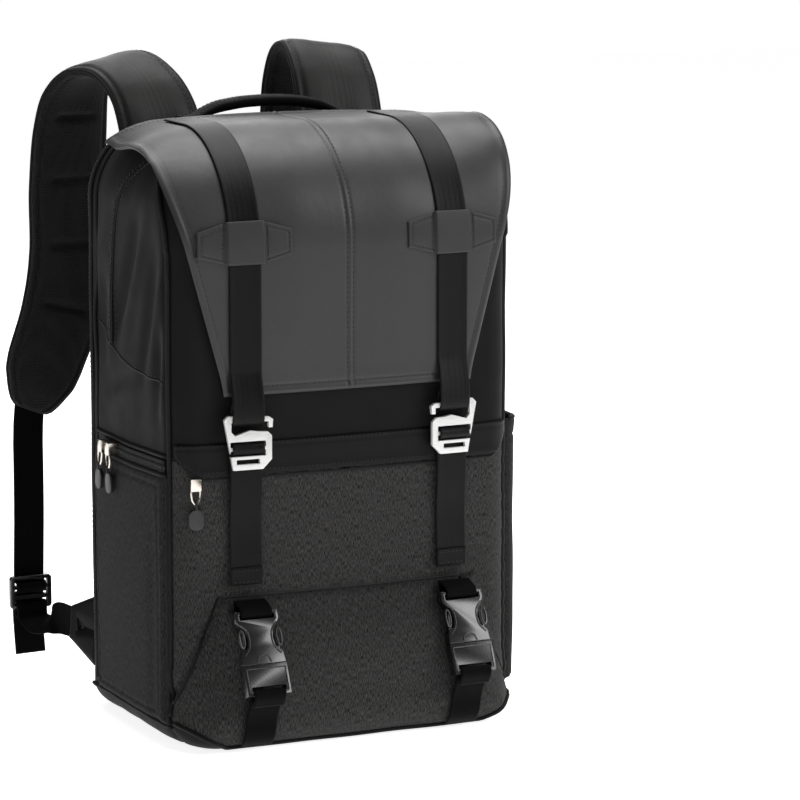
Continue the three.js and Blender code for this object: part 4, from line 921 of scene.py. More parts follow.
@dataclass
class Body:
    """The cloth shell: panels cut along the seams of one rounded form."""

    looks: Finishes
    wall: float = 2.0
    far: float = 99
    step: float = 3
    tooth: float = 2
    thread: Thread = field(default_factory=Thread)

    def relief(self, p: Array) -> Array:
        """How far the cloth stands out from the plain form at points of it.

        Args:
            p: the points, in rows.

        Returns:
            The heights.
        """
        x, y, z = p[..., 0], p[..., 1], p[..., 2]
        out = 0.5 * ripples(x, y, z, 3)
        on_front = y < FORM.seam_front + 1
        line = np.abs(y - FORM.seam_front) + np.where(z > FORM.bend, 40, 0)
        out = out - 1.3 * ridge(line, 2.6)
        out = out + 0.5 * pucker(z, line, 9, 11) * (z < 212)
        out = out - 1.0 * ridge(y - FORM.seam_gusset, 2.2) * (z > FORM.seam_base)
        high, low = FORM.pocket_top, FORM.pocket_foot
        seam = np.where(np.abs(x) < FORM.slant_left[0], np.abs(z - high), self.far)
        for s, a, b in FORM.slants():
            seam = np.minimum(seam, segment_distance(x, z, (s * a, high, s * b, low)))
        seam = np.where(on_front, seam, self.far)
        out = out - 2.6 * ridge(seam, 2.2) + 0.45 * pucker(x, seam, 6, 8) + 1.1 * ridge(seam - 6, 4)
        upper = (y > FORM.seam_front) & (y < FORM.seam_gusset) & (z > FORM.side_top)
        dents = sum(fold.dent(y, z) for fold in LEFT_FOLDS)
        out = out - np.where(upper & (x < -60), dents, 0)
        dents = sum(fold.dent(-y + 8, z - 6) for fold in LEFT_FOLDS[1:])
        return out - np.where(upper & (x > 60), 0.8 * dents, 0)

    def shell(self, columns: int = 360, rows: int = 198) -> bmesh.types.BMesh:
        """The whole outer surface as one fine mesh, to be cut into panels.

        Args:
            columns: cells round the plan.
            rows: cells up the height.

        Returns:
            The mesh, closed at its top and base.
        """
        knots = np.array([-5, -4, -3.5, -3, -2, -1.5, -1, 0, 1, 1.5, 2, 3, 3.5, 4, 5.0])
        spread = np.array([0, 1.3, 1.42, 1.55, 3.1, 3.35, 3.6, 5.0, 6.4, 6.65, 6.9, 8.45, 8.58, 8.7, 10]) / 10
        heights = np.array([0, 0.5, 1, 2, 2.5, 3.0])
        climb = np.array([0, 0.045, 0.08, 0.8, 0.92, 1.0])

        def place(u: Array, v: Array) -> Array:
            """The surface's point for a cell corner."""
            turn, level = np.interp(u, spread, knots), np.interp(v, climb, heights)
            p, n = FORM.skin(turn, level)
            return p + n * self.relief(p)[..., None]

        bm = grid(columns, rows, place, (880, 480))
        bmesh.ops.remove_doubles(bm, verts=bm.verts, dist=2e-5)
        rims = [e for e in bm.edges if e.is_boundary]
        for high in (False, True):
            rim = [e for e in rims if e.is_valid and (e.verts[0].co.z > 0.2) == high]
            self.cap(bm, rim, high)
        return bm

    @staticmethod
    def cap(bm: bmesh.types.BMesh, rim: list[bmesh.types.BMEdge], high: bool) -> None:
        """Closes the top or base with rings drawn in towards the middle."""
        layer = bm.loops.layers.uv.active
        middle = FORM.top_middle * MM if high else 0.0
        last = 1.0
        for share in (0.93, 0.85, 0.72, 0.56, 0.38, 0.2, 0.08):
            made = bmesh.ops.extrude_edge_only(bm, edges=rim)["geom"]
            rim = [e for e in made if isinstance(e, bmesh.types.BMEdge) and e.is_boundary]
            step, last = share / last, share
            for v in (v for v in made if isinstance(v, bmesh.types.BMVert)):
                v.co.x *= step
                v.co.y = lerp(middle, v.co.y, step)
                if high:
                    v.co.z = (FORM.height + float(FORM.crown_at(np.array(v.co.x / MM)))) * MM
        bmesh.ops.holes_fill(bm, edges=rim, sides=0)
        for face in bm.faces:
            if abs(face.normal.z) > 0.95:
                for corner in face.loops:
                    corner[layer].uv = (corner.vert.co.x, corner.vert.co.y)

    @staticmethod
    def cut(bm: bmesh.types.BMesh, planes: Sequence[tuple[Vector, Vector]], keep: bool = True) -> None:
        """Cuts a mesh along planes.

        Args:
            bm: the mesh.
            planes: a point and an outward direction each, in millimetres.
            keep: whether what lies outside a plane goes. Otherwise only the cuts are made.
        """
        for point, way in planes:
            bmesh.ops.bisect_plane(bm, geom=[*bm.verts, *bm.edges, *bm.faces], dist=1e-6,
                                   plane_co=point * MM, plane_no=way, clear_outer=keep)

    @staticmethod
    def drop(bm: bmesh.types.BMesh, test: Callable[[Vector], bool]) -> None:
        """Deletes the faces whose middle passes a test in millimetres."""
        gone = [f for f in bm.faces if test(f.calc_center_median() / MM)]
        bmesh.ops.delete(bm, geom=gone, context="FACES")

    @staticmethod
    def side_planes(foot: float, slack: float) -> list[tuple[Vector, Vector]]:
        """The planes round the upper side panel: front seam, gusset, foot and the curve over its top."""
        rows = [plane("y", FORM.seam_front + slack, -1), plane("y", FORM.seam_gusset - slack, 1),
                plane("z", foot + slack, -1)]
        for a in np.radians(np.linspace(7.5, 90, 12)):
            way = Vector((0, -math.cos(a), math.sin(a)))
            rows.append((Vector((0, FORM.strip_hub, FORM.bend)) + way * (FORM.strip_reach - slack), way))
        return rows

    def build(self) -> None:
        """Cuts every panel of the shell and sews its seams."""
        whole = self.shell()
        g = GAP / 2
        y0, y1, y2, z0 = FORM.seam_front, FORM.seam_gusset, FORM.seam_back, FORM.seam_base
        slant = [(Vector((s * FORM.foot_half, 0, FORM.front_foot)),
                  Vector((s * FORM.foot_rise, 0, -FORM.foot_run)).normalized()) for s in (-1, 1)]

        def panel(name: str, planes: list, node: str, look: bpy.types.Material) -> None:
            """Cuts one panel and finishes it."""
            bm = whole.copy()
            self.cut(bm, planes)
            piece(name, bm, look, (node,), self.wall, CENTRE)

        looks = self.looks
        sides = self.side_planes(FORM.side_top, g)
        for side in Side:
            half = [plane("x", 0, -side.value)]
            panel(f"upper_side_{side.label}", sides + half, f"side_panel_{side.label}", looks.twill)
        low = [plane("y", y0 - g, 1), plane("z", FORM.front_seam - g, 1), plane("z", FORM.front_foot + g, -1)]
        low += slant
        panel("lower_front", low, "front_panel_lower", looks.heather)
        right = [plane("y", y0 + g, -1), plane("y", y1 - g, 1), plane("z", FORM.side_top - g, 1),
                 plane("z", z0 + g, -1), plane("x", 0, -1)]
        # The lower side uses the darker heather copy, painted shade for a side turned away from the light.
        panel("lower_side_right", right, "side_panel_right_lower", looks.heather_painted_shade)
        left = right[:4] + [plane("x", 0, 1)]
        panel("door_surround", left, "door_zip_tape", looks.binding)
        panel("gusset", [plane("y", y1 + g, -1), plane("y", y2 - g, 1), plane("z", z0 + g, -1)],
              "zip_gusset", looks.twill)
        panel("back_panel", [plane("y", y2 + g, -1)], "back_board", looks.air_mesh)
        reach = FORM.strip_reach + g

        def beside(p: Vector) -> bool:
            """Whether a place belongs to a side panel and not the strip over the top."""
            if p.y < y0 - g:
                return False
            if p.z > FORM.bend and p.y < FORM.strip_hub:
                return math.hypot(p.y - FORM.strip_hub, p.z - FORM.bend) < reach
            return p.z < FORM.bend + reach

        strip = whole.copy()
        self.cut(strip, [plane("y", y1 - g, 1), plane("z", FORM.front_seam + g, -1)])
        self.cut(strip, self.side_planes(FORM.front_seam - 20, -g), keep=False)
        self.drop(strip, beside)
        piece("top_strip", strip, looks.twill, ("front_panel_upper",), self.wall, CENTRE)
        base = whole.copy()
        self.cut(base, [plane("y", y2 - g, 1), plane("z", FORM.front_base, 1)])
        edges = [plane("z", z0 - g, 1), plane("z", FORM.front_foot - g, 1), plane("y", y0, 1)]
        self.cut(base, edges + slant, keep=False)

        def over_base(p: Vector) -> bool:
            """Whether a place is above the base's edge."""
            rise = max(0, abs(p.x) - FORM.foot_half) * FORM.foot_rise / FORM.foot_run
            edge = z0 if p.y > y0 else FORM.front_foot + rise
            return p.z > edge - g * 0.5

        self.drop(base, over_base)
        piece("base", base, looks.twill, ("base_panel",), self.wall, CENTRE)
        whole.free()
        self.sew()

    def seam_path(self, spots: Sequence[tuple[float, float]], side: int, lift: float) -> tuple[Array, Array]:
        """A path on the side of the bag through places in Y and Z.

        Args:
            spots: the places.
            side: -1 for the left or 1 for the right.
            lift: how far it stands off the cloth.

        Returns:
            The points and outward directions.
        """
        rows = resampled(rounded_path(np.array([(0, y, z) for y, z in spots], float)), self.step)
        turn = side * FORM.turn_at(rows[:, 1], rows[:, 2])
        p, n = FORM.skin(turn, FORM.level_of(rows[:, 2]))
        return p + n * (lift + self.relief(p))[:, None], n

    def front_path(self, spots: Sequence[tuple[float, float]], lift: float) -> tuple[Array, Array]:
        """A path on the front of the bag through places in X and Z."""
        rows = resampled(np.array([(x, 0, z) for x, z in spots], float), self.step)
        p, n = FORM.skin(FORM.front_turn(rows[:, 0], rows[:, 2]), FORM.level_of(rows[:, 2]))
        return p + n * (lift + self.relief(p))[:, None], n

    def arch(self, y: float, low: float, lift: float) -> tuple[Array, Array]:
        """A path up one side, over the top and down the other, at a place along Y."""
        high = FORM.height - 0.2
        z = np.linspace(low, high, 160)
        z = np.r_[z[:110], high + 0.05 - (high - z[110]) * np.cos(np.linspace(0, math.pi / 2, 60))]
        p, n = FORM.skin(FORM.turn_at(np.full_like(z, y), z), FORM.level_of(z))
        p = p + n * (lift + self.relief(p))[:, None]
        top = np.linspace(p[-1, 0], 0, 24)[1:]
        q = stack(top, y, FORM.height + FORM.crown_at(top) + lift)
        p = np.vstack([p, q])
        n = np.vstack([n, np.tile([0, 0, 1.0], (len(q), 1))])
        mirrored = np.array([-1, 1, 1])
        return np.vstack([p, p[-2::-1] * mirrored]), np.vstack([n, n[-2::-1] * mirrored])

    def welt(self, name: str, points: Array, radius: float, sides: int = 8,
             nodes: Iterable[str] = ()) -> None:
        """A round bound welt along a path."""
        piece(name, wire(points, radius, sides), self.looks.binding, nodes)

    def sew(self) -> None:
        """Piping, zips, seams and stitches of the shell."""
        looks = self.looks
        for side in Side:
            reach = FORM.strip_reach
            spots = [(FORM.seam_front, 24), (FORM.seam_front, FORM.bend)]
            spots += [(FORM.strip_hub - reach * math.cos(a), FORM.bend + reach * math.sin(a))
                      for a in np.radians(np.linspace(9, 90, 10))]
            spots.append((56, FORM.bend + reach))
            p, _ = self.seam_path(spots, side.value, 1.3)
            self.welt(f"front_welt_{side.label}", p, 1.9, 10, (f"piping_{side.label}",))
        back, out = self.arch(72.5, 22, 0.4)
        coil = sweep(self.flat_band(back, out, 6.0, 1.6))
        piece("back_zip_tape", coil, looks.binding, ("back_zip",))
        self.zip_row("back_zip_coil", *self.arch(72.5, 22, 1.5))
        gusset, out = self.arch(FORM.seam_gusset, 18, 0.9)
        self.welt("gusset_welt", gusset, 1.5)
        line = [(24, 289), (24, 345), (22, 375), (14, 398), (0, 416), (-18, 430)]
        for side in Side:
            p, n = self.seam_path(line, side.value, 0.2)
            piece(f"side_zip_{side.label}", sweep(self.flat_band(p, n, 5.5, 1.4)), looks.binding)
            self.zip_row(f"side_zip_coil_{side.label}", *self.seam_path(line, side.value, 1.3))
            for off in (-5.5, 5.5):
                moved = [(y + off, z + (1.1 if y < 20 else 0)) for y, z in line]
                self.thread.run(*self.seam_path(moved, side.value, 0.15))
            cross = [(58, 306), (40, 297), (20, 288), (0, 281), (-30, 276), (-72, 274)]
            self.thread.run(*self.seam_path(cross, side.value, 0.15))
            p, _ = self.seam_path([(y, z - 2.2) for y, z in cross], side.value, 0.1)
            piece(f"side_seam_{side.label}", wire(p, 0.7, 6), looks.dark_thread)
            p, _ = self.seam_path([(-74, FORM.side_top), (59, FORM.side_top)], side.value, 0.9)
            self.welt(f"side_foot_welt_{side.label}", p, 1.4)
            p, _ = self.seam_path([(-74, FORM.seam_base), (79, FORM.seam_base)], side.value, 0.9)
            self.welt(f"base_welt_{side.label}", p, 1.6)
        edge = [(-135, 19.4), (-128.5, 16), (-104.5, 3.6), (104.5, 3.6), (128.5, 16), (135, 19.4)]
        p, _ = self.front_path(edge, 0.9)
        self.welt("base_welt_front", p, 1.6)
        for sign, a, b in FORM.slants():
            spots = [(sign * (a + 1), 112), (sign * (b - 11), 34)]
            p, _ = self.front_path(spots, 1.0)
            self.welt(f"pocket_seam_{Side(sign).label}", p, 1.0)
            self.thread.run(*self.front_path([(x - sign * 4.5, z - 1) for x, z in spots], 0.1))
        ends = (-FORM.slant_left[0], FORM.slant_right[0])
        p, _ = self.front_path([(x, FORM.pocket_top) for x in ends], 0.6)
        piece("pocket_top_seam", wire(p, 0.8, 6), looks.dark_thread)
        self.thread.run(*self.front_path([(-100, 117.5), (90, 117.5)], 0.1))
        self.thread.finish("shell_stitching", looks.thread, "webbing")

    @staticmethod
    def flat_band(points: Array, normals: Array, width: float, thick: float) -> Array:
        """Rings for a thin flat band that lies on the cloth along a path."""
        along = unit(np.gradient(points, axis=0))
        side = unit(np.cross(along, normals))
        section = np.array(web_section(width, thick))
        return rings_along(points, side, normals, section[:, 0], section[:, 1])

    def zip_row(self, name: str, points: Array, normals: Array) -> None:
        """A row of zip teeth along a path.

        Args:
            name: the piece's name.
            points: the path.
            normals: the outward directions.
        """
        rows = resampled(np.hstack([points, normals]), self.tooth)
        along = unit(np.gradient(rows[:, :3], axis=0))
        side = unit(np.cross(along, rows[:, 3:]))
        bm = bmesh.new()
        for i, (p, t, s, n) in enumerate(zip(rows[:, :3], along, side, unit(rows[:, 3:]))):
            turn = Matrix((t, s, n)).transposed().to_4x4()
            shape = Matrix.Diagonal((0.62 * MM, 1.5 * MM, 0.5 * MM, 1))
            spot = Matrix.Translation(Vector(p + s * (0.55 if i % 2 else -0.55)) * MM)
            bmesh.ops.create_icosphere(bm, subdivisions=1, radius=1, matrix=spot @ turn @ shape)
        piece(name, bm, self.looks.zip_coil)


def edge_lip(inside: Array, radius: float) -> Array:
    """The rounded drop of a padded edge: -1 at the rim and 0 from its radius inward."""
    t = np.clip(inside / radius, 0, 1)
    return np.sqrt(np.clip(1 - (1 - t) ** 2, 0, 1)) - 1


@dataclass
class DoorAndPocket:
    """The padded access door on the left and the slip pocket on the right."""

    looks: Finishes
    body: Body
    proud: float = 6
    corner: float = 20
    foot: float = 17
    slip_lift: float = 13.2
    slip_drop: float = 12.4
    slip_edge: float = 12
    slip: tuple[float, float, float, float] = (-72, 22, 52, 226)

    def leaf(self) -> bmesh.types.BMesh:
        """The door's padded face, crowned and turned down to the zip all round."""
        y0, y1, z0, z1 = FORM.seam_front + 0.6, FORM.seam_gusset - 0.4, self.foot, FORM.door_top

        def inside(y: Array, z: Array) -> Array:
            """Distance in from the door's outline."""
            edge = np.minimum(np.minimum(y - y0, y1 - y), np.minimum(z - z0, z1 - z))
            qy, qz = y - (y1 - self.corner), z - (z1 - self.corner)
            arc = self.corner - np.hypot(qy, qz)
            return np.where((qy > 0) & (qz > 0), arc, edge)

        def place(u: Array, v: Array) -> Array:
            """The door's face, with cells gathered towards its edges."""
            u, v = (0.5 - 0.5 * np.cos(np.pi * t) * (1 - 0.35 * np.sin(np.pi * t)) for t in (u, v))
            y, z = lerp(y0, y1, u), lerp(z0, z1, v)
            p, n = FORM.skin(-FORM.turn_at(y, z), FORM.level_of(z))
            d = inside(y, z)
            full = np.sin(np.pi * np.clip((z - z0) / (z1 - z0), 0, 1))
            full = full * np.sin(np.pi * np.clip((y - y0) / (y1 - y0), 0, 1))
            lift = self.proud - 1.2 + 5.2 * edge_lip(d, 8) + 1.8 * full + 0.5 * ripples(0, y, z, 11, 60)
            lift = lift - 1.0 * ridge(d - 8, 1.6) + 0.5 * pucker(y + z, d - 8, 6, 10)
            lift = lift - 1.3 * ridge(y + 58 + 0.02 * z, 8) * ease((190 - z) / 60)
            return p + n * lift[..., None]

        bm = grid(100, 130, place, (137, 187))
        hub = Vector((0, y1 - self.corner, z1 - self.corner))
        ways = [Vector((0, math.cos(a), math.sin(a))) for a in np.radians(np.linspace(7.5, 82.5, 11))]
        self.body.cut(bm, [(hub + way * self.corner, way) for way in ways])
        return bm

    def pocket(self) -> bmesh.types.BMesh:
        """The slip pocket's outer face, standing off the side and turned in at its edges."""
        y0, z0, y1, z1 = self.slip

        def place(u: Array, v: Array) -> Array:
            """The pocket's face."""
            u = 0.5 - 0.5 * np.cos(np.pi * u)
            v = 1 - (1 - v) ** 1.15
            y, z = lerp(y0, y1, u), lerp(z0, z1, v)
            p, n = FORM.skin(FORM.turn_at(y, z), FORM.level_of(z))
            d = np.minimum(np.minimum(y - y0, y1 - y), z - z0)
            lift = self.slip_lift + self.slip_drop * edge_lip(d, self.slip_edge)
            lift = lift + 0.6 * ripples(9, y, z, 17, 60)
            lift = lift - 1.0 * ridge(z - 213, 1.4) + 0.5 * ridge(z - 222, 3)
            return p + n * lift[..., None]

        return grid(80, 110, place, (150, 222))

    def build(self) -> None:
        """Makes both, with the door's zip and the welts round them."""
        looks, body = self.looks, self.body
        # The darker heather here is painted shade for the side, not a different cloth.
        dark = looks.heather_painted_shade
        door = piece("door_leaf", self.leaf(), dark, ("access_door",), 2.2, CENTRE)
        piece("slip_pocket_face", self.pocket(), dark, ("slip_pocket",), 1.8, CENTRE)
        y1, z1, r = FORM.seam_gusset - 1, FORM.door_top, self.corner
        rim = [(FORM.seam_front + 1, z1)] + [(y, z1) for y in range(-60, 41, 10)]
        rim += [(y1 - r + r * math.sin(a), z1 - r + r * math.cos(a))
                for a in np.linspace(0.1, math.pi / 2, 8)]
        rim += [(y1, z) for z in range(170, 17, -12)] + [(y1, 17)]
        p, _ = body.seam_path(rim, -1, 2.2)
        body.welt("door_welt", p, 1.7, 10)
        front = [(FORM.seam_front + 1.2, 20), (FORM.seam_front + 1.2, z1)]
        p, _ = body.seam_path(front, -1, 2.4)
        body.welt("door_hinge_welt", p, 1.6)
        track = [(FORM.seam_front + 3, 210.5)] + [(y, 210.5) for y in range(-60, 41, 10)]
        track += [(47, 208), (54, 203), (58.5, 196), (60, 188)]
        p, n = body.seam_path(track, -1, 1.2)
        piece("door_zip_band", sweep(body.flat_band(p, n, 10, 1.2)), looks.binding)
        body.zip_row("door_zip_coil", *body.seam_path(track, -1, 2.2))
        thread = Thread()
        thread.run(*body.seam_path([(-70, 215), (56, 215)], -1, 1.2))
        y0, _, y2, z2 = self.slip
        edge = stack(0, np.linspace(y0 + 1, y2 - 1, 50), z2)
        p, n = FORM.skin(FORM.turn_at(edge[:, 1], edge[:, 2]), FORM.level_of(edge[:, 2]))
        d = np.minimum(edge[:, 1] - y0, y2 - edge[:, 1])
        rise = self.slip_drop * (1 + edge_lip(d, self.slip_edge))[:, None]
        lip = p + n * rise
        body.welt("slip_pocket_binding", lip, 1.9, 10)
        low = p - [0, 0, 12.5] + n * (rise + 1)
        thread.run(low[4:-4], n[4:-4])
        thread.finish("side_stitching", looks.thread, "webbing")


@dataclass
class FrontFlap:
    """The flap over the top and front, with its hem, centre seam and stitching."""

    looks: Finishes
    back: float = 45
    end: float = 262.5
    cut_width: float = 270
    thick: float = 2.6
    lift: float = 1.6
    half: float = 143
    droop: float = 15
    droop_from: float = 96
    shares: tuple = (0, 0.12, 0.24, 0.4, 0.5, 0.6, 1)
    halves: tuple = (0.955, 0.99, 1, 0.99, 0.965, 0.905, 0.69)

    @property
    def top_run(self) -> float:
        """Length of the flap that lies on the flat top."""
        return self.back - (FORM.front + FORM.front_top)

    @property
    def length(self) -> float:
        """The flap's whole length, back to front."""
        return self.run_at(self.end)

    def run_at(self, z: float) -> float:
        """The distance from the flap's back edge to a height on the front."""
        return self.top_run + FORM.front_top * math.pi / 2 + FORM.bend - z

    def over(self, x: Array, run: Array, lift: Array) -> tuple[Array, Array]:
        """Points over the top and front of the bag.

        Args:
            x: places across.
            run: distances from the flap's back edge.
            lift: heights off the bag.

        Returns:
            The points and outward directions.
        """
        off = lift + FORM.crown_at(x)
        a = np.clip((run - self.top_run) / FORM.front_top, 0, math.pi / 2)
        past = np.clip(run - self.top_run - FORM.front_top * math.pi / 2, 0, None)
        flat = self.top_run - np.clip(run, None, self.top_run)
        hub = FORM.front + FORM.front_top
        radius = FORM.front_top + off
        p = stack(x, hub - radius * np.sin(a) + flat, FORM.bend + radius * np.cos(a) - past)
        n = stack(0 * x, -np.sin(a), np.cos(a))
        return p, n

    def half_at(self, share: Array) -> Array:
        """Half the flap's width at a share of its length, without corners."""
        steps = (-0.05, -0.025, 0, 0.025, 0.05)
        soft = [np.interp(share + step, self.shares, self.halves) for step in steps]
        return self.half * sum(soft) / len(steps)

    def droop_at(self, x: Array, share: Array) -> Array:
        """How far the ends hang."""
        beyond = np.clip(np.abs(x) - self.droop_from, 0, None) / (self.half - self.droop_from)
        stiff = 9.5 * ease((x - 84) / 56) * ridge(share - 0.3, 0.2)
        return self.droop * beyond**2 * np.clip(1.3 - 3.2 * share, 0.1, 1) * np.where(x > 0, 0.4, 1) - stiff

    def sheet(self, x: Array, share: Array, lift: float) -> tuple[Array, Array]:
        """The flap's outer face at places across and shares along, that far off it."""
        wide = self.half_at(share)
        run = share * self.length
        edge = np.minimum(np.minimum(wide - np.abs(x), run), self.length - run)
        hem = 0.8 * ridge(edge - 2.2, 2.2) - 0.9 * ridge(edge, 0.9) - 0.45 * ridge(edge - 6.2, 1.2)
        seam = 0.55 * ridge(x, 1.0) - 0.35 * (ridge(x - 2.4, 1.1) + ridge(x + 2.4, 1.1))
        calm = 1 - ridge(np.abs(x) - FORM.web_place, 20)
        swell = 0.5 * ripples(x, run, 0, 5, 90) * ease(edge / 20) * calm
        soft = 1.2 * np.exp(-((np.abs(x) - 44) / 24) ** 2) * np.sin(np.clip(share, 0, 1) * math.pi)
        total = self.lift + self.thick + lift + hem + seam + np.clip(swell + soft * calm, -0.3, 2)
        return self.over(x, run, total - self.droop_at(x, share))

    def build(self) -> None:
        """Makes the flap's cloth, hems and stitches."""
        looks = self.looks

        def place(u: Array, v: Array) -> Array:
            """A point of the flap's outer face, with cells gathered at the hems."""
            w = np.clip(u, 0, 1)
            across = (2 * w - 1) + 0.12 * np.sin(2 * math.pi * w)
            share = v - 0.055 * np.sin(2 * math.pi * v) / math.pi
            return self.sheet(across * self.half_at(share), share, 0)[0]

        bm = grid(166, 200, place, (2 * self.half, self.length))
        top = piece("flap_cloth", bm, looks.coated, ("flap",), 0.0, CENTRE)
        cloth = top.modifiers.new("wall", "SOLIDIFY")
        cloth.thickness = (self.thick + 0.2) * MM
        cloth.offset = -1
        rounded_edges(top, 0.7, 2, 60)
        width, length = self.cut_width * MM, self.length * MM
        thread = Thread(length=2.4, space=1.3, radius=0.3)
        share = np.linspace(0.022, 0.978, 240)
        for side in Side:
            thread.run(*self.sheet(side.value * (self.half_at(share) - 6.2), share, 0.12))
            thread.run(*self.sheet(np.full_like(share, side.value * 2.5), share, 0.12))
        for end in (6.2, self.length - 6.2):
            at = np.full(80, end / self.length)
            x = np.linspace(-1, 1, 80) * (self.half_at(at) - 8)
            thread.run(*self.sheet(x, at, 0.12))
        thread.finish("flap_stitching", looks.dark_thread, "webbing")


@dataclass
class FlapFastening:
    """One side's webbing over the flap, its keeper, the alloy hook and the adjusting tail."""

    side: Side
    looks: Finishes
    flap: FrontFlap
    x: float = FORM.web_place
    width: float = 25
    thick: float = 1.5
    keeper_z: float = 373.5
    keeper_half: float = 37
    hook_top: float = 249
    hook_bar: float = 3.4
    hook_thick: float = 3
    slot_foot: float = 218.5
    slot_top: float = 229.5
    hook_foot: float = 208.5
    tail_anchor: float = 197
    tail_end: float = 121
    band: float = 1.6

    @property
    def slope(self) -> float:
        """The lean of the front's crown at the webbing."""
        return -2 * FORM.crown * self.x / FORM.half**2

    @property
    def face(self) -> float:
        """The bag's front at the webbing, along Y."""
        return FORM.front - float(FORM.crown_at(np.array(self.x)))

    @property
    def anchor(self) -> float:
        """Where the layer sewn to the band lies, along Y."""
        return self.face - GAP - self.band - SLACK - self.thick / 2

    @property
    def tail(self) -> float:
        """Where the free tail lies, along Y."""
        return self.anchor - self.thick - GAP

    @property
    def hook(self) -> float:
        """The middle of the hook, along Y."""
        return self.tail - self.thick / 2 - SLACK - self.hook_thick / 2

    @property
    def over(self) -> float:
        """Where the webbing lies in front of the hook, along Y."""
        return self.hook - self.hook_thick / 2 - SLACK - self.thick / 2

    def across(self) -> tuple[float, float, float]:
        """The webbing's sideways direction on the front."""
        lean = math.atan(-self.side.value * self.slope)
        return (math.cos(lean), math.sin(lean), 0)

    def webbing(self) -> None:
        """The webbing over the flap, down to a sewn loop round the hook's bar."""
        s = self.side.value
        flap, x = self.flap, s * self.x
        run = np.linspace(flap.length / 18, flap.length * 17 / 18, 90)
        lift = flap.lift + flap.thick + GAP + self.thick / 2 + 0.5
        off = self.thick / 2 + 0.35
        middle, _ = flap.sheet(np.full_like(run, x), run / flap.length, off)
        right, _ = flap.sheet(np.full_like(run, x + 12), run / flap.length, off)
        wide = unit(right - middle)
        bar = self.hook_top - 2 - self.hook_bar / 2
        low = bar - self.hook_bar / 2 - SLACK - self.thick / 2
        inner = 2 * self.hook - self.over
        corners = [(x, self.over, flap.end - 3), (x, self.over, low), (x, inner, low),
                   (x, inner, self.hook_top + 1.5), (x, self.over + self.thick + GAP, flap.end - 5)]
        points = np.vstack([middle, corners])
        ways = np.vstack([wide, np.tile(self.across(), (len(corners), 1))])
        bm = tape(points, ways, self.width, self.thick, rounds=2, step=1.4)
        piece(f"flap_tape_{self.side.label}", bm, self.looks.glossy_webbing,
              (f"flap_webbing_{self.side.label}",))
        thread = Thread(length=2.2, space=1.1, radius=0.3)
        wide_row = np.array(self.across())
        for z in (271.5, 273.2):
            near = flap.over(np.array(x), np.array(flap.run_at(z)), np.array(lift + self.thick / 2 + 0.05))[0]
            thread.run(np.array([near + wide_row * t for t in (-11.5, 0, 11.5)]))
        thread.finish(f"flap_tape_stitching_{self.side.label}", self.looks.thread, "webbing")

    def keeper(self) -> None:
        """The six-sided leather keeper with its raised middle and stitched ends."""
        s, flap = self.side.value, self.flap
        middle = flap.run_at(self.keeper_z)
        knots = np.array([-37, -15, -14.4, 14.4, 15, 37.0])
        highs = np.array([8.6, 14.2, 14.5, 14.5, 14.2, 8.6])

        def face(x: Array, v: Array) -> tuple[Array, Array]:
            """The keeper's outer face at a place across and down."""
            high = np.interp(x, knots, highs)
            step = ease((14.9 - np.abs(x)) / 2.2 + 0.5)
            rim = np.minimum(high - np.abs(v), self.keeper_half - np.abs(x))
            lip = 0.8 * edge_lip(rim, 1.5)
            press = -0.35 * ridge(rim - 3.1, 0.7) * (np.abs(x) > 15) - 0.5 * ridge(np.abs(x) - 16.4, 0.8)
            lift = flap.lift + flap.thick + GAP + 1.6 + 0.7 + step * (self.thick + GAP + 0.4) + lip + press
            return flap.over(s * self.x + x, middle - v, lift)

        def place(u: Array, v: Array) -> Array:
            """A point of the keeper's face."""
            x = (u - 0.5) * 2 * self.keeper_half
            w = 0.5 - 0.5 * np.cos(np.pi * v)
            return face(x, (w * 2 - 1) * np.interp(x, knots, highs))[0]

        bm = grid(120, 34, place, (2 * self.keeper_half, 2 * highs.max()))
        patch = piece(f"keeper_patch_{self.side.label}", bm, self.looks.leather,
                      (f"strap_keeper_{self.side.label}",), 1.5, CENTRE)
        patch.modifiers["wall"].use_rim = True
        thread = Thread(length=2.1, space=1.2, radius=0.3)
        for end in (-1, 1):
            rows = [(17.6, -11), (34.2, -6.6), (34.2, 6.6), (17.6, 11), (17.6, -11)]
            rows = resampled(np.array([(end * x, v, 0) for x, v in rows], float), 1.0)
            p, n = face(rows[:, 0], rows[:, 1])
            thread.run(p + n * 0.15, n)
        thread.finish(f"keeper_stitching_{self.side.label}", self.looks.dark_thread, "leather")

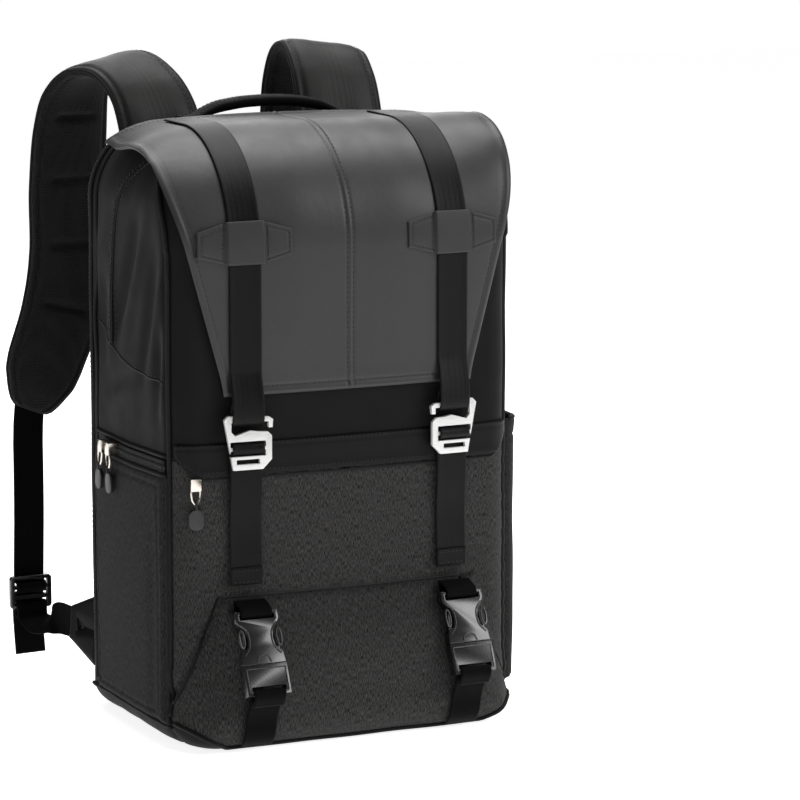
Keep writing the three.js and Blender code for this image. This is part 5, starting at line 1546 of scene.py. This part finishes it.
    def tail_tape(self) -> None:
        """The adjusting webbing, up behind the hook, round its bar and down to a free hemmed end."""
        x = self.side.value * self.x
        middle = (self.slot_foot + self.slot_top) / 2
        slot = (self.slot_top - self.slot_foot) / 4 + 0.65
        deep = self.hook_thick / 2 + SLACK + self.thick / 2
        high, low = middle + slot, middle - slot
        free = [(0, low), (0, self.hook_foot - 6), (0.8, self.tail_anchor - 12), (2.3, 170), (2.6, 155),
                (1.4, 138), (2, self.tail_end + 1)]
        rows = [(self.anchor, self.tail_anchor), (self.anchor, high), (self.hook - deep, high),
                (self.hook - deep, low)] + [(self.tail + off, z) for off, z in free]
        points = [(x, y, z) for y, z in rows]
        look = self.looks.glossy_webbing
        bm = tape(points, self.across(), self.width, self.thick, 3, 1.5)
        piece(f"adjusting_tape_{self.side.label}", bm, look,
              (f"adjusting_webbing_{self.side.label}",))
        fold = [(x, self.tail + 0.2, self.tail_end + 14), (x, self.tail + 0.3, self.tail_end + 1.2)]
        piece(f"adjusting_hem_{self.side.label}", tape(fold, self.across(), self.width - 0.4, 1.3, 1, 1.5),
              look)
        thread = Thread(length=2.2, space=1.1, radius=0.28)
        wide = np.array(self.across())
        for z in (self.tail_end + 11.5, self.tail_end + 3.5):
            centre = np.array([x, self.tail - 0.55, z])
            thread.run(np.array([centre + wide * t for t in (-10.5, 0, 10.5)]))
        thread.finish(f"adjusting_stitching_{self.side.label}", self.looks.thread, "webbing")

    def build(self) -> None:
        """Makes all of it."""
        self.webbing()
        self.keeper()
        self.tail_tape()
        moulded(f"hook_buckle_{self.side.label}", self.looks.alloy, 0.75, 3)


@dataclass
class FrontBand:
    """The band over the front pocket's zip."""

    looks: Finishes
    body: Body
    foot: float = 204
    top: float = 228
    half: float = 137.5
    cut: float = 12

    def build(self) -> None:
        """Makes the band with its turned edge, and the zip that shows under its end."""

        def place(u: Array, v: Array) -> Array:
            """A point of the band's face."""
            x = (2 * u - 1) * 133.2
            z = lerp(self.foot, self.top, v)
            p, n = FORM.skin(FORM.front_turn(x, z), FORM.level_of(z))
            rim = np.minimum(z - self.foot, self.top - z)
            lift = 1.9 + 0.9 * edge_lip(rim, 1.4) - 0.35 * ridge(z - 224.5, 1.0)
            lift = lift + 0.25 * ripples(p[..., 0], 0, z, 23, 40) + 0.3 * ridge(z - self.foot - 3, 3)
            return p + n * lift[..., None]

        bm = grid(150, 20, place, (272, 24))
        for s in (-1, 1):
            corner = Vector((s * (self.half - self.cut), 0, self.foot))
            self.body.cut(bm, [(corner, Vector((s * 20, 0, -self.cut)).normalized())])
        piece("band_face", bm, self.looks.band, ("front_band",), 1.5, CENTRE)
        thread = Thread(length=2.2, space=1.2, radius=0.28)
        thread.run(*self.body.front_path([(-130, 226.4), (130, 226.4)], 2.1))
        thread.run(*self.body.front_path([(-116, 207), (116, 207)], 2.3))
        thread.finish("band_stitching", self.looks.dark_thread, "webbing")
        line = [(-131, 216), (-119, 203.2), (119, 203.2), (131, 216)]
        p, n = self.body.front_path(line, 1.3)
        piece("pocket_zip_tape", sweep(self.body.flat_band(p, n, 5, 1.0)), self.looks.binding)


@dataclass
class ReleaseBuckle:
    """One side-release buckle on the pocket's slope, with the webbing at both its bars."""

    side: Side
    looks: Finishes
    x: float = FORM.web_place
    thick: float = 9
    socket: float = 40
    base: float = 23
    tilt: float = 25
    top: float = 104
    rest: float = 80
    bar: float = 2.6
    slot: float = 3.8
    lift: float = 1.2
    web: float = 1.5
    width: float = 25

    def face_at(self, z: float) -> float:
        """The pocket's surface at the buckle, along Y."""
        x, z = np.array(self.x), np.array(float(z))
        return float(FORM.front_at(z) - FORM.crown_at(x) - FORM.swell_at(x, z))

    def matrix(self) -> Matrix:
        """Puts a place in the buckle's own frame on the slope, in millimetres."""
        lean = math.radians(self.tilt)
        up = (self.top - self.rest) / math.cos(lean)
        touch = self.face_at(self.rest) - (self.lift + self.thick / 2) / math.cos(lean)
        turn = Matrix.Rotation(-lean, 4, "X") @ Matrix.Translation((0, 0, up))
        return Matrix.Translation((self.side.value * self.x, touch, self.rest)) @ turn

    def placed(self, rows: Sequence[tuple[float, float]]) -> list[tuple[float, float, float]]:
        """Places in the buckle's y and z, moved on to the slope."""
        m = self.matrix()
        return [tuple(m @ Vector((0, y, z))) for y, z in rows]

    def build(self) -> None:
        """Makes the webbing and the two halves."""
        looks, name = self.looks, self.side.label
        out = self.thick / 2 + GAP + self.web / 2
        slot = -self.bar - self.slot / 2
        loop = [(5.6, 11), (out, slot), (-out, slot), (-out, 1.6), (5.6 - self.web - GAP, 10)]
        piece(f"socket_tape_{name}", tape(self.placed(loop), (1, 0, 0), self.width, self.web, 3, 1.2),
              looks.webbing, (f"socket_webbing_{name}",))
        foot = -self.socket - self.base
        slot = foot + self.bar + self.slot / 2
        local = [(out - 2.6, foot - 7), (-out, foot - 1.6), (-out, slot), (out, slot), (out, foot - 3)]
        off = GAP + self.web / 2 + 0.4
        ends = [(self.side.value * self.x, self.face_at(z) - off - 1.4 * (1.6 if z < 12 else 1), z)
                for z in (26, 17, 9.5, 3.6)]
        piece(f"base_tape_{name}", tape(self.placed(local) + ends, (1, 0, 0), self.width, self.web, 2, 1.4),
              looks.webbing, (f"base_webbing_{name}",))
        moulded(f"buckle_socket_{name}", looks.gloss, 0.9, 3)
        moulded(f"buckle_clip_{name}", looks.gloss, 0.9, 3)
        self.trim()

    def trim(self) -> None:
        """The moulded rims and ribs that the plain halves carry."""
        m = self.matrix()
        bm = bmesh.new()
        face = -self.thick / 2

        def bead(rows: Sequence[tuple[float, float]], radius: float, closed: bool = False) -> None:
            """Adds one raised bead through places in the buckle's x and z."""
            path = np.array([tuple(m @ Vector((x, face, z))) for x, z in rows])
            if not closed:
                path = resampled(rounded_path(path, 2), 0.8)
            part = wire(path, radius, 6, closed)
            scratch = bpy.data.meshes.new("bead")
            part.to_mesh(scratch)
            part.free()
            bm.from_mesh(scratch)
            bpy.data.meshes.remove(scratch)

        a = np.linspace(0, 2 * math.pi, 24, endpoint=False)
        for s in (-1, 1):
            bead([(s * (14.6 + 1.9 * math.cos(t)), -20.5 + 6.5 * math.sin(t)) for t in a], 0.8, True)
            bead([(s * 14.5, -33), (s * 9.5, -27.5), (s * 8.6, -21), (s * 9.5, -14.5), (s * 14.5, -9.5)], 0.6)
            bead([(s * 15.4, -43), (s * 15.4, -60)], 0.55)
        bead([(-5.5, -39), (-4, -33.5), (4, -33.5), (5.5, -39)], 0.6)
        bead([(-15.4, -60.5), (15.4, -60.5)], 0.55)
        bead([(-15.2, -43.2), (15.2, -43.2)], 0.5)
        piece(f"buckle_ribs_{self.side.label}", bm, self.looks.gloss)


@dataclass
class ZipPull:
    """A zip slider with its wire bail, and the round rubber puller that hangs from it."""

    looks: Finishes
    name: str

    def build(self) -> None:
        """Makes the slider and the puller with a dished face."""
        moulded(f"{self.name}_slider", self.looks.steel, 0.25, 2)
        moulded(f"{self.name}_puller", self.looks.rubber, 0.8, 3)


@dataclass
class CarryHandle:
    """The padded carry handle behind the flap."""

    looks: Finishes
    half: float = 56
    y: float = 60
    width: float = 21
    thick: float = 8.5

    def build(self) -> None:
        """Makes the handle's grip, its flat sewn ends and its stitches."""
        base = FORM.height + float(FORM.crown_at(np.array(self.half))) + GAP
        knots = np.array([-70, -60, -52, -40, -20, 0, 20, 40, 52, 60, 70.0])
        rise = np.array([1.4, 1.9, 5, 9.4, 12.3, 13, 12.3, 9.4, 5, 1.9, 1.4])
        size = np.array([2.6, 3.4, 6, 8.5, 8.5, 8.5, 8.5, 8.5, 6, 3.4, 2.6])
        x = np.linspace(-70, 70, 110)
        soft = [(np.interp(x + d, knots, rise), np.interp(x + d, knots, size)) for d in (-5, -2.5, 0, 2.5, 5)]
        z = base + sum(r for r, _ in soft) / 5
        t = sum(s for _, s in soft) / 5
        points = stack(x, self.y, z)
        _, side, out = frames_along(points, np.tile([0, 1.0, 0], (len(x), 1)))
        a = np.linspace(0, 2 * math.pi, 28, endpoint=False)
        u = np.sign(np.cos(a)) * np.abs(np.cos(a)) ** 0.55 * self.width / 2
        v = np.sign(np.sin(a)) * np.abs(np.sin(a)) ** 0.7
        v = v * (1 - 0.16 * ridge(np.abs(u) - 7.2, 1.1))
        rings = rings_along(points, side, out, u, v * t[:, None] / 2)
        grip = piece("handle_grip", sweep(rings), self.looks.webbing, ("carry_handle",))
        thread = Thread(length=2.4, space=1.2, radius=0.3)
        for s in (-7.2, 7.2):
            thread.run(points + side * s + out * (t[:, None] * 0.43))
        for s in (-1, 1):
            ends = [(s * 58, -8), (s * 68, -8), (s * 68, 8), (s * 58, 8), (s * 58, -8)]
            spots = [(px, self.y + py, base + (4.3 if abs(px) < 60 else 3.1)) for px, py in ends]
            thread.run(np.array(spots))
        thread.finish("handle_stitching", self.looks.thread, "webbing")


@dataclass
class BackPanel:
    """The padded back with its quilted channels, and the sleeve across its middle."""

    looks: Finishes
    half: float = 118
    thick: float = 7
    corner: float = 26
    search: int = 24
    lower: tuple[float, float] = (26, 190)
    upper: tuple[float, float] = (268, 384)
    sleeve: tuple[float, float, float] = (196, 262, 122)

    def pad(self, name: str, low: float, high: float, node: str) -> None:
        """One pad, swollen between its quilting.

        Args:
            name: the piece's name.
            low: its lower edge.
            high: its upper edge.
            node: the frame's node that it stands for.
        """
        centre = (low + high) / 2
        tall = (high - low) / 2
        r = self.corner

        def inside(x: Array, z: Array) -> Array:
            """Distance in from the pad's outline."""
            qx, qz = np.abs(x) - (self.half - r), np.abs(z - centre) - (tall - r)
            outer = np.hypot(np.clip(qx, 0, None), np.clip(qz, 0, None))
            return r - outer - np.minimum(np.maximum(qx, qz), 0)

        def place(u: Array, v: Array) -> Array:
            """A point of the pad's face, drawn in to its round corners."""
            a, b = 2 * u - 1, 2 * v - 1
            a, b = a + 0.1 * np.sin(math.pi * a), b + 0.1 * np.sin(math.pi * b)
            big = np.maximum(np.abs(a), np.abs(b))
            spin = np.arctan2(b * tall, a * self.half)
            reach = np.full_like(spin, 200.0)
            for _ in range(self.search):
                d = inside(np.cos(spin) * reach, centre + np.sin(spin) * reach)
                reach = reach + np.minimum(d, 40) * 0.9
            x, z = np.cos(spin) * reach * big, centre + np.sin(spin) * reach * big
            d = inside(x, z)
            channel = np.min([segment_distance(np.abs(x), z, (0, centre - 8 + k, 110, centre + 44 + k))
                              for k in (-78, -39, 0, 39)], axis=0)
            lift = self.thick * (1 + edge_lip(d, 7)) + 1.5 * ease(d / 30) - 3.2 * ridge(channel, 3.0)
            y = FORM.back + GAP + np.clip(lift, 0.3, None)
            return stack(x, y, z)

        bm = grid(124, 90, place, (236, 2 * tall))
        pad = piece(name, bm, self.looks.air_mesh, (node,), 0.0, CENTRE)
        back = pad.modifiers.new("wall", "SOLIDIFY")
        back.thickness = 0.25 * MM
        back.offset = -1

    def build(self) -> None:
        """Makes the pads and the sleeve."""
        self.pad("lower_back_pad", *self.lower, "back_pad_lower")
        self.pad("upper_back_pad", *self.upper, "back_pad_upper")
        low, high, half = self.sleeve
        y = FORM.back + GAP + 1.2
        rows = [(-half, y), (-half + 7, y), (-half + 13, y + 6), (half - 13, y + 6), (half - 7, y), (half, y)]
        points = [(x, py, (low + high) / 2) for x, py in rows]
        piece("sleeve_cloth", tape(points, (0, 0, 1), high - low, 2.2, 3, 3), self.looks.twill,
              ("trolley_sleeve",))
        thread = Thread()
        for z in (low + 4, high - 4):
            thread.run(np.array([(-half + 14, y + 7.2, z), (half - 14, y + 7.2, z)], float))
        for x in (-half + 3.5, half - 3.5):
            thread.run(np.array([(x, y + 1.3, low + 4), (x, y + 1.3, high - 4)], float))
        thread.finish("sleeve_stitching", self.looks.thread, "webbing")


@dataclass(frozen=True)
class StrapRow:
    """One section of a shoulder strap: place, width, and how far it is turned and tipped, in degrees."""

    x: float
    behind: float
    z: float
    width: float = 66
    turn: float = 0
    lean: float = 0


LEFT_ROWS = (
    StrapRow(-70, 6.4, 392), StrapRow(-70, 9, 424), StrapRow(-73, 15, 452, 66, 4, 2),
    StrapRow(-80, 26, 474, 66, 14, 6), StrapRow(-91, 44, 488, 66, 24, 10), StrapRow(-104, 63, 485, 66, 26, 8),
    StrapRow(-114, 76, 467, 66, 22, 4), StrapRow(-118, 82, 436, 66, 14), StrapRow(-119, 85, 388, 67, 8),
    StrapRow(-119, 85, 338, 67, 6, -2), StrapRow(-127, 83, 294, 66, 4, -14),
    StrapRow(-143, 79, 254, 62, 2, -20), StrapRow(-157, 76, 219, 50, 0, -14),
)
RIGHT_ROWS = (
    StrapRow(80, 6.4, 392, 70), StrapRow(80, 9, 424, 70), StrapRow(80, 15, 454, 70, 0, -3),
    StrapRow(80, 27, 479, 70, 0, -7), StrapRow(80, 46, 495, 70, 0, -8), StrapRow(80, 65, 490, 69, 0, -6),
    StrapRow(79, 78, 469, 68, 0, -3), StrapRow(78, 83, 436, 67), StrapRow(77, 85, 388, 67),
    StrapRow(80, 85, 338, 67, 0, 4), StrapRow(91, 83, 294, 66, 0, 15), StrapRow(107, 79, 254, 62, 0, 19),
    StrapRow(120, 76, 219, 50, 0, 13),
)


def spline(knots: Array, share: Array) -> Array:
    """A centripetal spline through knots, at shares from 0 to 1 counted by knots."""
    ends = np.vstack([2 * knots[0] - knots[1], knots, 2 * knots[-1] - knots[-2]])
    at = np.clip(share, 0, 1) * (len(knots) - 1)
    low = np.minimum(at.astype(int), len(knots) - 2)
    t = (at - low)[:, None]
    p0, p1, p2, p3 = (ends[low + k] for k in range(4))
    gaps = [np.sqrt(np.linalg.norm(b - a, axis=1, keepdims=True)) for a, b in ((p0, p1), (p1, p2), (p2, p3))]
    g0, g1, g2 = gaps
    m1 = ((p1 - p0) / g0 - (p2 - p0) / (g0 + g1) + (p2 - p1) / g1) * g1
    m2 = ((p2 - p1) / g1 - (p3 - p1) / (g1 + g2) + (p3 - p2) / g2) * g1
    return p1 + m1 * t + (-3 * p1 + 3 * p2 - 2 * m1 - m2) * t**2 + (2 * p1 - 2 * p2 + m1 + m2) * t**3


@dataclass
class HarnessSide:
    """One shoulder strap with its webbing, ladder lock, wing and D-ring."""

    side: Side
    rows: tuple[StrapRow, ...]
    looks: Finishes
    thick: float = 12
    web: float = 25
    web_thick: float = 1.5
    lock_z: float = 74
    lock_high: float = 26
    lock_bar: float = 3
    lock_slot: float = 4.5
    lock_thick: float = 4.5
    ring_row: float = 8.2
    steps: int = 18

    @property
    def lock_x(self) -> float:
        """Where the ladder lock is, along X."""
        return -FORM.half - 22.5 if self.side is Side.LEFT else FORM.half - 12.5

    @property
    def lock_y(self) -> float:
        """Where the ladder lock is, along Y."""
        return FORM.back + 72

    def frames(self, share: Array) -> tuple[Array, Array, Array, Array, Array]:
        """Centres, sideways, outward and lengthwise directions and widths of sections.

        Args:
            share: where along the strap, from 0 at its root to 1 at its tip.

        Returns:
            The five arrays.
        """
        table = np.array([(r.x, FORM.back + r.behind, r.z) for r in self.rows], float)
        at = np.clip(share, 0, 1) * (len(self.rows) - 1)
        knots = np.arange(len(self.rows))
        width, turn, lean = (np.interp(at, knots, column)
                             for column in zip(*((r.width, r.turn, r.lean) for r in self.rows)))
        turn, lean = np.radians(turn), np.radians(lean)
        centre = spline(table, share)
        along = unit(spline(table, share + 1e-3) - spline(table, share - 1e-3))
        side = stack(np.cos(turn), np.sin(turn), np.sin(lean))
        side = unit(side - along * np.sum(side * along, axis=1, keepdims=True))
        return centre, side, np.cross(along, side), along, width

    def pad(self) -> None:
        """The padded strap: smooth cloth outside, knit inside, a bound seam round its edge."""
        share = np.linspace(0, 1, 190)
        centre, side, out, _, width = self.frames(share)
        run = np.r_[0, np.cumsum(np.linalg.norm(np.diff(centre, axis=0), axis=1))]
        left = run[-1] - run
        width = width * np.interp(share, (0, 1 - 1 / self.steps, 1), (1, 1, 0.7))
        width = width - 10 * (1 - np.sqrt(np.clip(1 - (1 - np.clip(left / 14, 0, 1)) ** 2, 0, 1)))
        thick = self.thick * (0.55 + 0.45 * ease(np.minimum(run / 26, left / 16)))
        a = np.linspace(0, 2 * math.pi, 64, endpoint=False)
        c, s = np.cos(a), np.sin(a)
        u = np.sign(c) * np.abs(c) ** 0.6
        v = np.sign(s) * np.abs(s) ** 0.62
        inner = v > 0
        x = u * width[:, None] / 2
        edge = width[:, None] / 2 - np.abs(x)
        groove = 1 - 0.34 * ridge(edge - 5.0, 1.5)
        rows = [ridge(run - spot * run[-1], 2.6) for spot in (0.435, 0.555, 0.68, 0.8)]
        quilt = np.max(rows, axis=0)[:, None]
        slit = 1 - 0.5 * quilt * ease((0.62 - np.abs(u)) / 0.15) * inner
        puff = 1 + 0.10 * ease((edge - 6) / 14) * inner * (1 - quilt)
        flat = 1 - 0.06 * ease((14 - np.abs(x)) / 4) * (~inner)
        y = v * thick[:, None] / 2 * groove * slit * puff * flat
        bm = sweep(rings_along(centre, side, out, x, y))
        strap = piece(f"strap_pad_{self.side.label}", bm, self.looks.strap_twill,
                      (f"shoulder_strap_{self.side.label}",))
        strap.data.materials.append(self.looks.knit)
        mid = centre * MM
        for poly in strap.data.polygons:
            spot = np.array(poly.center)
            near = int(np.argmin(np.sum((mid - spot) ** 2, axis=1)))
            deep = float((spot - mid[near]) @ out[near]) / MM
            poly.material_index = 1 if deep > -thick[near] * 0.12 else 0

        def beside(sign: int, inward: float, raised: float) -> Array:
            """A path down the strap, that far in from one edge and raised by a share of its thickness."""
            return centre + side * (sign * (width / 2 - inward))[:, None] - out * (thick * raised)[:, None]

        welt = np.vstack([beside(-1, -0.2, 0.1), beside(1, -0.2, 0.1)[::-1]])[4:-4]
        piece(f"strap_binding_{self.side.label}", wire(resampled(rounded_path(welt, 1), 4), 1.3, 8),
              self.looks.binding)
        thread = Thread(length=2.6, space=1.4, radius=0.32)
        for sign in (-1, 1):
            thread.run(beside(sign, 5.0, 0.36)[6:-6])
        thread.finish(f"strap_stitching_{self.side.label}", self.looks.dark_thread, "webbing")

    def on_face(self, share: float, off: float, slide: float = 0) -> Array:
        """A place off the strap's outer face, at a share along it."""
        centre, side, out, _, _ = self.frames(np.array([share]))
        return centre[0] - out[0] * (self.thick / 2 + off) + side[0] * slide

    def webbing(self) -> None:
        """The webbing down the strap, through the ladder lock and down to its hemmed end."""
        deep = self.lock_thick / 2 + SLACK + self.web_thick / 2
        share = np.linspace(10 / self.steps, 1 - 1 / self.steps, 60)
        centre, side, out, _, _ = self.frames(share)
        on = centre - out * (self.thick / 2 + GAP + self.web_thick / 2 + 0.25)
        c1, s1, o1, _, _ = self.frames(np.array([1.0]))
        end = c1[0] - o1[0] * (self.thick / 2 + 0.4 + self.web_thick / 2)
        y, z = self.lock_y, self.lock_z
        rows = [(0.35, y + deep + 3, z + 72), (0.85, y + deep + 0.5, z + 26), (1, y + deep, z + 7.75),
                (1, y - deep, z + 7.75), (1, y - deep, z + 0.25), (1, y + deep, z + 0.25),
                (1, y + deep + 3.2, z - 6), (1, y + deep + 3.6, z - 18), (1, y + deep + 1, z - 34),
                (0.9, y + deep - 1, z - 50)]
        free = [(lerp(end[0], self.lock_x, t), py, pz) for t, py, pz in rows]
        points = np.vstack([on, [end], free])
        wide = np.vstack([side, s1, np.tile([1.0, 0, 0], (len(free), 1))])
        piece(f"harness_tape_{self.side.label}", tape(points, wide, self.web, self.web_thick, 2, 1.8),
              self.looks.webbing, (f"harness_webbing_{self.side.label}",))
        thread = Thread(length=2.4, space=1.2, radius=0.32)
        for slide in (-10.5, 10.5):
            thread.run(on + side * slide - out * (self.web_thick / 2 + 0.1))
        for spot in (0.06, 0.36, 0.58, 0.8):
            i = int(spot * len(share))
            face = on[i] - out[i] * (self.web_thick / 2 + 0.1)
            thread.run(np.array([face + side[i] * t for t in (-10, 0, 10)]))
        thread.finish(f"harness_stitching_{self.side.label}", self.looks.thread, "webbing")

    def link(self) -> None:
        """The short webbing from the ladder lock to the wing on the bag's lower corner, and the wing."""
        x, s = self.lock_x, self.side.value
        deep = self.lock_thick / 2 + SLACK + self.web_thick / 2
        seam = s * (FORM.half - 7)
        tip = np.array([lerp(x, seam, 0.6), lerp(self.lock_y, FORM.back, 0.62), 57])
        root = np.array([seam, FORM.back + 2.4, 54])
        slot = self.lock_z - self.lock_high / 2 + self.lock_bar + self.lock_slot / 2
        local = [(deep - 3, slot - 12), (deep, slot - 7), (deep, slot), (-deep, slot), (-deep, slot - 8)]
        points = [np.array([x, self.lock_y + py, pz]) for py, pz in local]
        flat = np.array([1.0, 0, 0])
        upright = np.array([0, 0, math.copysign(1, seam - x)])
        wide = [flat] * 6 + [unit(flat * 0.65 + upright * 0.35), unit(flat * 0.15 + upright * 0.85), upright]
        points.append(np.array([x, self.lock_y - deep - 2, slot - 13]))
        points.append(np.array([lerp(x, tip[0], 0.25), lerp(self.lock_y - deep, tip[1], 0.34), slot - 17]))
        points += [lerp(tip, root, -0.6), lerp(tip, root, -0.025)]
        piece(f"lock_tape_{self.side.label}", tape(points, wide, self.web, self.web_thick, 2, 1.4),
              self.looks.webbing, (f"lock_webbing_{self.side.label}",))
        mid = (tip + root) / 2
        wing = tape([tip, mid, root], upright, (self.web + 2, (self.web + 60) / 2, 58), 3.2, 1, 2)
        name = self.side.label
        piece(f"wing_cloth_{name}", wing, self.looks.twill, (f"harness_wing_{name}",))

    def ring(self) -> None:
        """The wire D-ring and the tab that holds its straight bar."""
        share = round(self.ring_row / (len(self.rows) - 1) * self.steps) / self.steps
        centre, side, out, along, _ = (v[0] for v in self.frames(np.array([share])))
        up, half, high, thick = -along, 13, 20, 3.2
        skin = GAP + self.web_thick + 0.8
        hub = centre - out * (self.thick / 2 + skin + thick / 2 + 2 * GAP + self.web_thick)
        outline = [(-half, 0), (0, 0), (half, 0), (half + 1, -3), (half, -9), (half * 0.75, -15),
                   (half * 0.4, -high + 1), (0, -high), (-half * 0.4, -high + 1), (-half * 0.75, -15),
                   (-half, -9), (-half - 1, -3)]
        corners = np.array([hub + side * u + up * v for u, v in outline])
        loop = np.vstack([corners, corners[:1]])
        for _ in range(2):
            loop = np.stack([lerp(loop[:-1], loop[1:], 0.2), lerp(loop[:-1], loop[1:], 0.8)], axis=1)
            loop = loop.reshape(-1, 3)
            loop = np.vstack([loop, loop[:1]])
        bm = wire(loop[:-1], thick / 2, 12, True)
        piece(f"d_ring_wire_{self.side.label}", bm, self.looks.steel, (f"d_ring_{self.side.label}",))
        r = thick / 2 + GAP + self.web_thick / 2
        path = [(-r, 14), (-r, -r), (r, -r), (r, r + 1), (-r + self.web_thick + GAP, 10)]
        points = [hub - out * o + up * v for o, v in path]
        piece(f"d_ring_tape_{self.side.label}", tape(points, side, 20, self.web_thick, 2, 1.2),
              self.looks.webbing, (f"d_ring_tab_{self.side.label}",))

    def build(self) -> None:
        """Makes the whole side."""
        self.pad()
        self.webbing()
        self.link()
        self.ring()
        moulded(f"ladder_lock_{self.side.label}", self.looks.gloss, 0.7, 3)


@dataclass
class ChestStrap:
    """The fastened chest strap between the shoulder straps."""

    looks: Finishes
    sides: dict[Side, HarnessSide]
    row: float = 9.6
    x: float = -18
    off: float = 9
    scale: float = 0.8
    buckle: float = 63
    width: float = 19.2
    thick: float = 1.5

    def build(self) -> None:
        """Makes both webbings and the small buckle."""
        strap = self.sides[Side.LEFT]
        share = round(self.row / (len(strap.rows) - 1) * strap.steps) / strap.steps
        ends = {side: self.sides[side].on_face(share, 0) for side in Side}
        z = (ends[Side.LEFT][2] + ends[Side.RIGHT][2]) / 2
        y = max(ends[Side.LEFT][1], ends[Side.RIGHT][1]) + self.off
        k = self.scale
        span = self.buckle * k
        out = 4.5 * k + GAP + self.thick / 2
        slot = (2.6 + 1.9) * k
        over = 2 * (GAP + self.thick) - self.thick / 2 + 0.4
        for side, sign, far in ((Side.RIGHT, 1, self.x + span / 2), (Side.LEFT, -1, self.x - span / 2)):
            bar = far - sign * slot
            on = self.sides[side].on_face
            points = [(far + sign * 7, y + out - 2, z), (far + sign * 1.6, y + out, z), (bar, y + out, z),
                      (bar, y - out, z), (far + sign * 8, y - out, z), on(share, self.thick + 6, -sign * 40),
                      on(share, over + 0.9, -sign * 32), on(share, over, -sign * 20), on(share, over, 0)]
            bm = tape([tuple(p) for p in points], (0, 0, 1), self.width, self.thick, 2, 1.3)
            name = f"sternum_webbing_{side.label}"
            piece(f"sternum_tape_{side.label}", bm, self.looks.webbing, (name,))
        for node in ("sternum_socket", "sternum_clip"):
            moulded(node, self.looks.gloss, 0.6, 3)


@dataclass
class Studio:
    """The camera, a pale floor and soft lights."""

    place: tuple[float, float, float] = (-1.14334, -2.61676, 0.71044)
    tilt: float = 80.63
    turn: float = -25.16
    lens: float = 171.0
    sensor: float = 36
    glow: float = 0.84
    ambient: float = 0.16
    aim: tuple[float, float, float] = (0, 0, 0.22)
    lights: tuple = (("key", (1.7, -1.5, 1.5), 1.2, 30), ("side", (-2.2, -0.3, 1.0), 1.4, 2),
                     ("top", (0.35, 0.4, 2.1), 1.5, 42), ("rim", (0.6, 2.2, 1.3), 1.4, 14))

    def light(self, name: str, spot: Sequence[float], size: float, power: float) -> None:
        """A square soft light that faces the bag."""
        data = bpy.data.lights.new(name, "AREA")
        data.size = size
        data.energy = power
        lamp = bpy.data.objects.new(name, data)
        lamp.location = spot
        lamp.rotation_euler = (Vector(self.aim) - Vector(spot)).to_track_quat("-Z", "Y").to_euler()
        bpy.context.scene.collection.objects.link(lamp)

    def camera(self) -> None:
        """The camera, where the photograph was taken from."""
        data = bpy.data.cameras.new("camera")
        data.lens = self.lens
        data.sensor_width = self.sensor
        camera = bpy.data.objects.new("camera", data)
        camera.location = self.place
        camera.rotation_euler = (math.radians(self.tilt), 0, math.radians(self.turn))
        bpy.context.scene.collection.objects.link(camera)
        bpy.context.scene.camera = camera

    def floor(self) -> None:
        """A pale floor that glows a little, so that it is as white as the world behind it."""
        bm = bmesh.new()
        bmesh.ops.create_grid(bm, x_segments=4, y_segments=4, size=6)
        mesh = bpy.data.meshes.new("floor")
        bm.to_mesh(mesh)
        bm.free()
        floor = bpy.data.objects.new("floor", mesh)
        bpy.context.scene.collection.objects.link(floor)
        bench = NodeBench("pale_floor", 0.8, Emission_Color=(1, 1, 1, 1), Emission_Strength=self.glow)
        cloud = bench.noise(bench.spot("Object"), 2, 2)
        colour = bench.blend(cloud, (0.9, 0.9, 0.9), (0.93, 0.93, 0.93))
        mesh.materials.append(bench.finish(colour, bench.relief(cloud, 0.0001)))

    def world(self) -> None:
        """A world that is white to the camera and dim as a light."""
        world = bpy.data.worlds.new("studio")
        bpy.context.scene.world = world
        world.use_nodes = True
        tree = world.node_tree
        dim = tree.nodes["Background"]
        bright = tree.nodes.new("ShaderNodeBackground")
        for shader, strength in ((dim, self.ambient), (bright, 1.0)):
            shader.inputs["Color"].default_value = (1, 1, 1, 1)
            shader.inputs["Strength"].default_value = strength
        seen = tree.nodes.new("ShaderNodeLightPath")
        mix = tree.nodes.new("ShaderNodeMixShader")
        tree.links.new(seen.outputs["Is Camera Ray"], mix.inputs["Fac"])
        tree.links.new(dim.outputs[0], mix.inputs[1])
        tree.links.new(bright.outputs[0], mix.inputs[2])
        tree.links.new(mix.outputs[0], tree.nodes["World Output"].inputs["Surface"])

    def build(self) -> None:
        """Sets up the view."""
        bpy.context.scene.view_settings.view_transform = "Standard"
        self.camera()
        self.floor()
        self.world()
        for row in self.lights:
            self.light(*row)


def main() -> None:
    """Builds the bag, piece by piece."""
    logging.basicConfig(level=logging.INFO, format="%(message)s")
    Studio().build()
    looks = Finishes()
    body = Body(looks)
    body.build()
    DoorAndPocket(looks, body).build()
    flap = FrontFlap(looks)
    flap.build()
    FrontBand(looks, body).build()
    for side in Side:
        FlapFastening(side, looks, flap).build()
        ReleaseBuckle(side, looks).build()
    for name in ("door_zip_front", "door_zip_rear", "pocket_zip"):
        ZipPull(looks, name).build()
    CarryHandle(looks).build()
    BackPanel(looks).build()
    straps = {Side.LEFT: LEFT_ROWS, Side.RIGHT: RIGHT_ROWS}
    sides = {side: HarnessSide(side, rows, looks) for side, rows in straps.items()}
    for strap in sides.values():
        strap.build()
    ChestStrap(looks, sides).build()


if __name__ == "__main__":
    main()
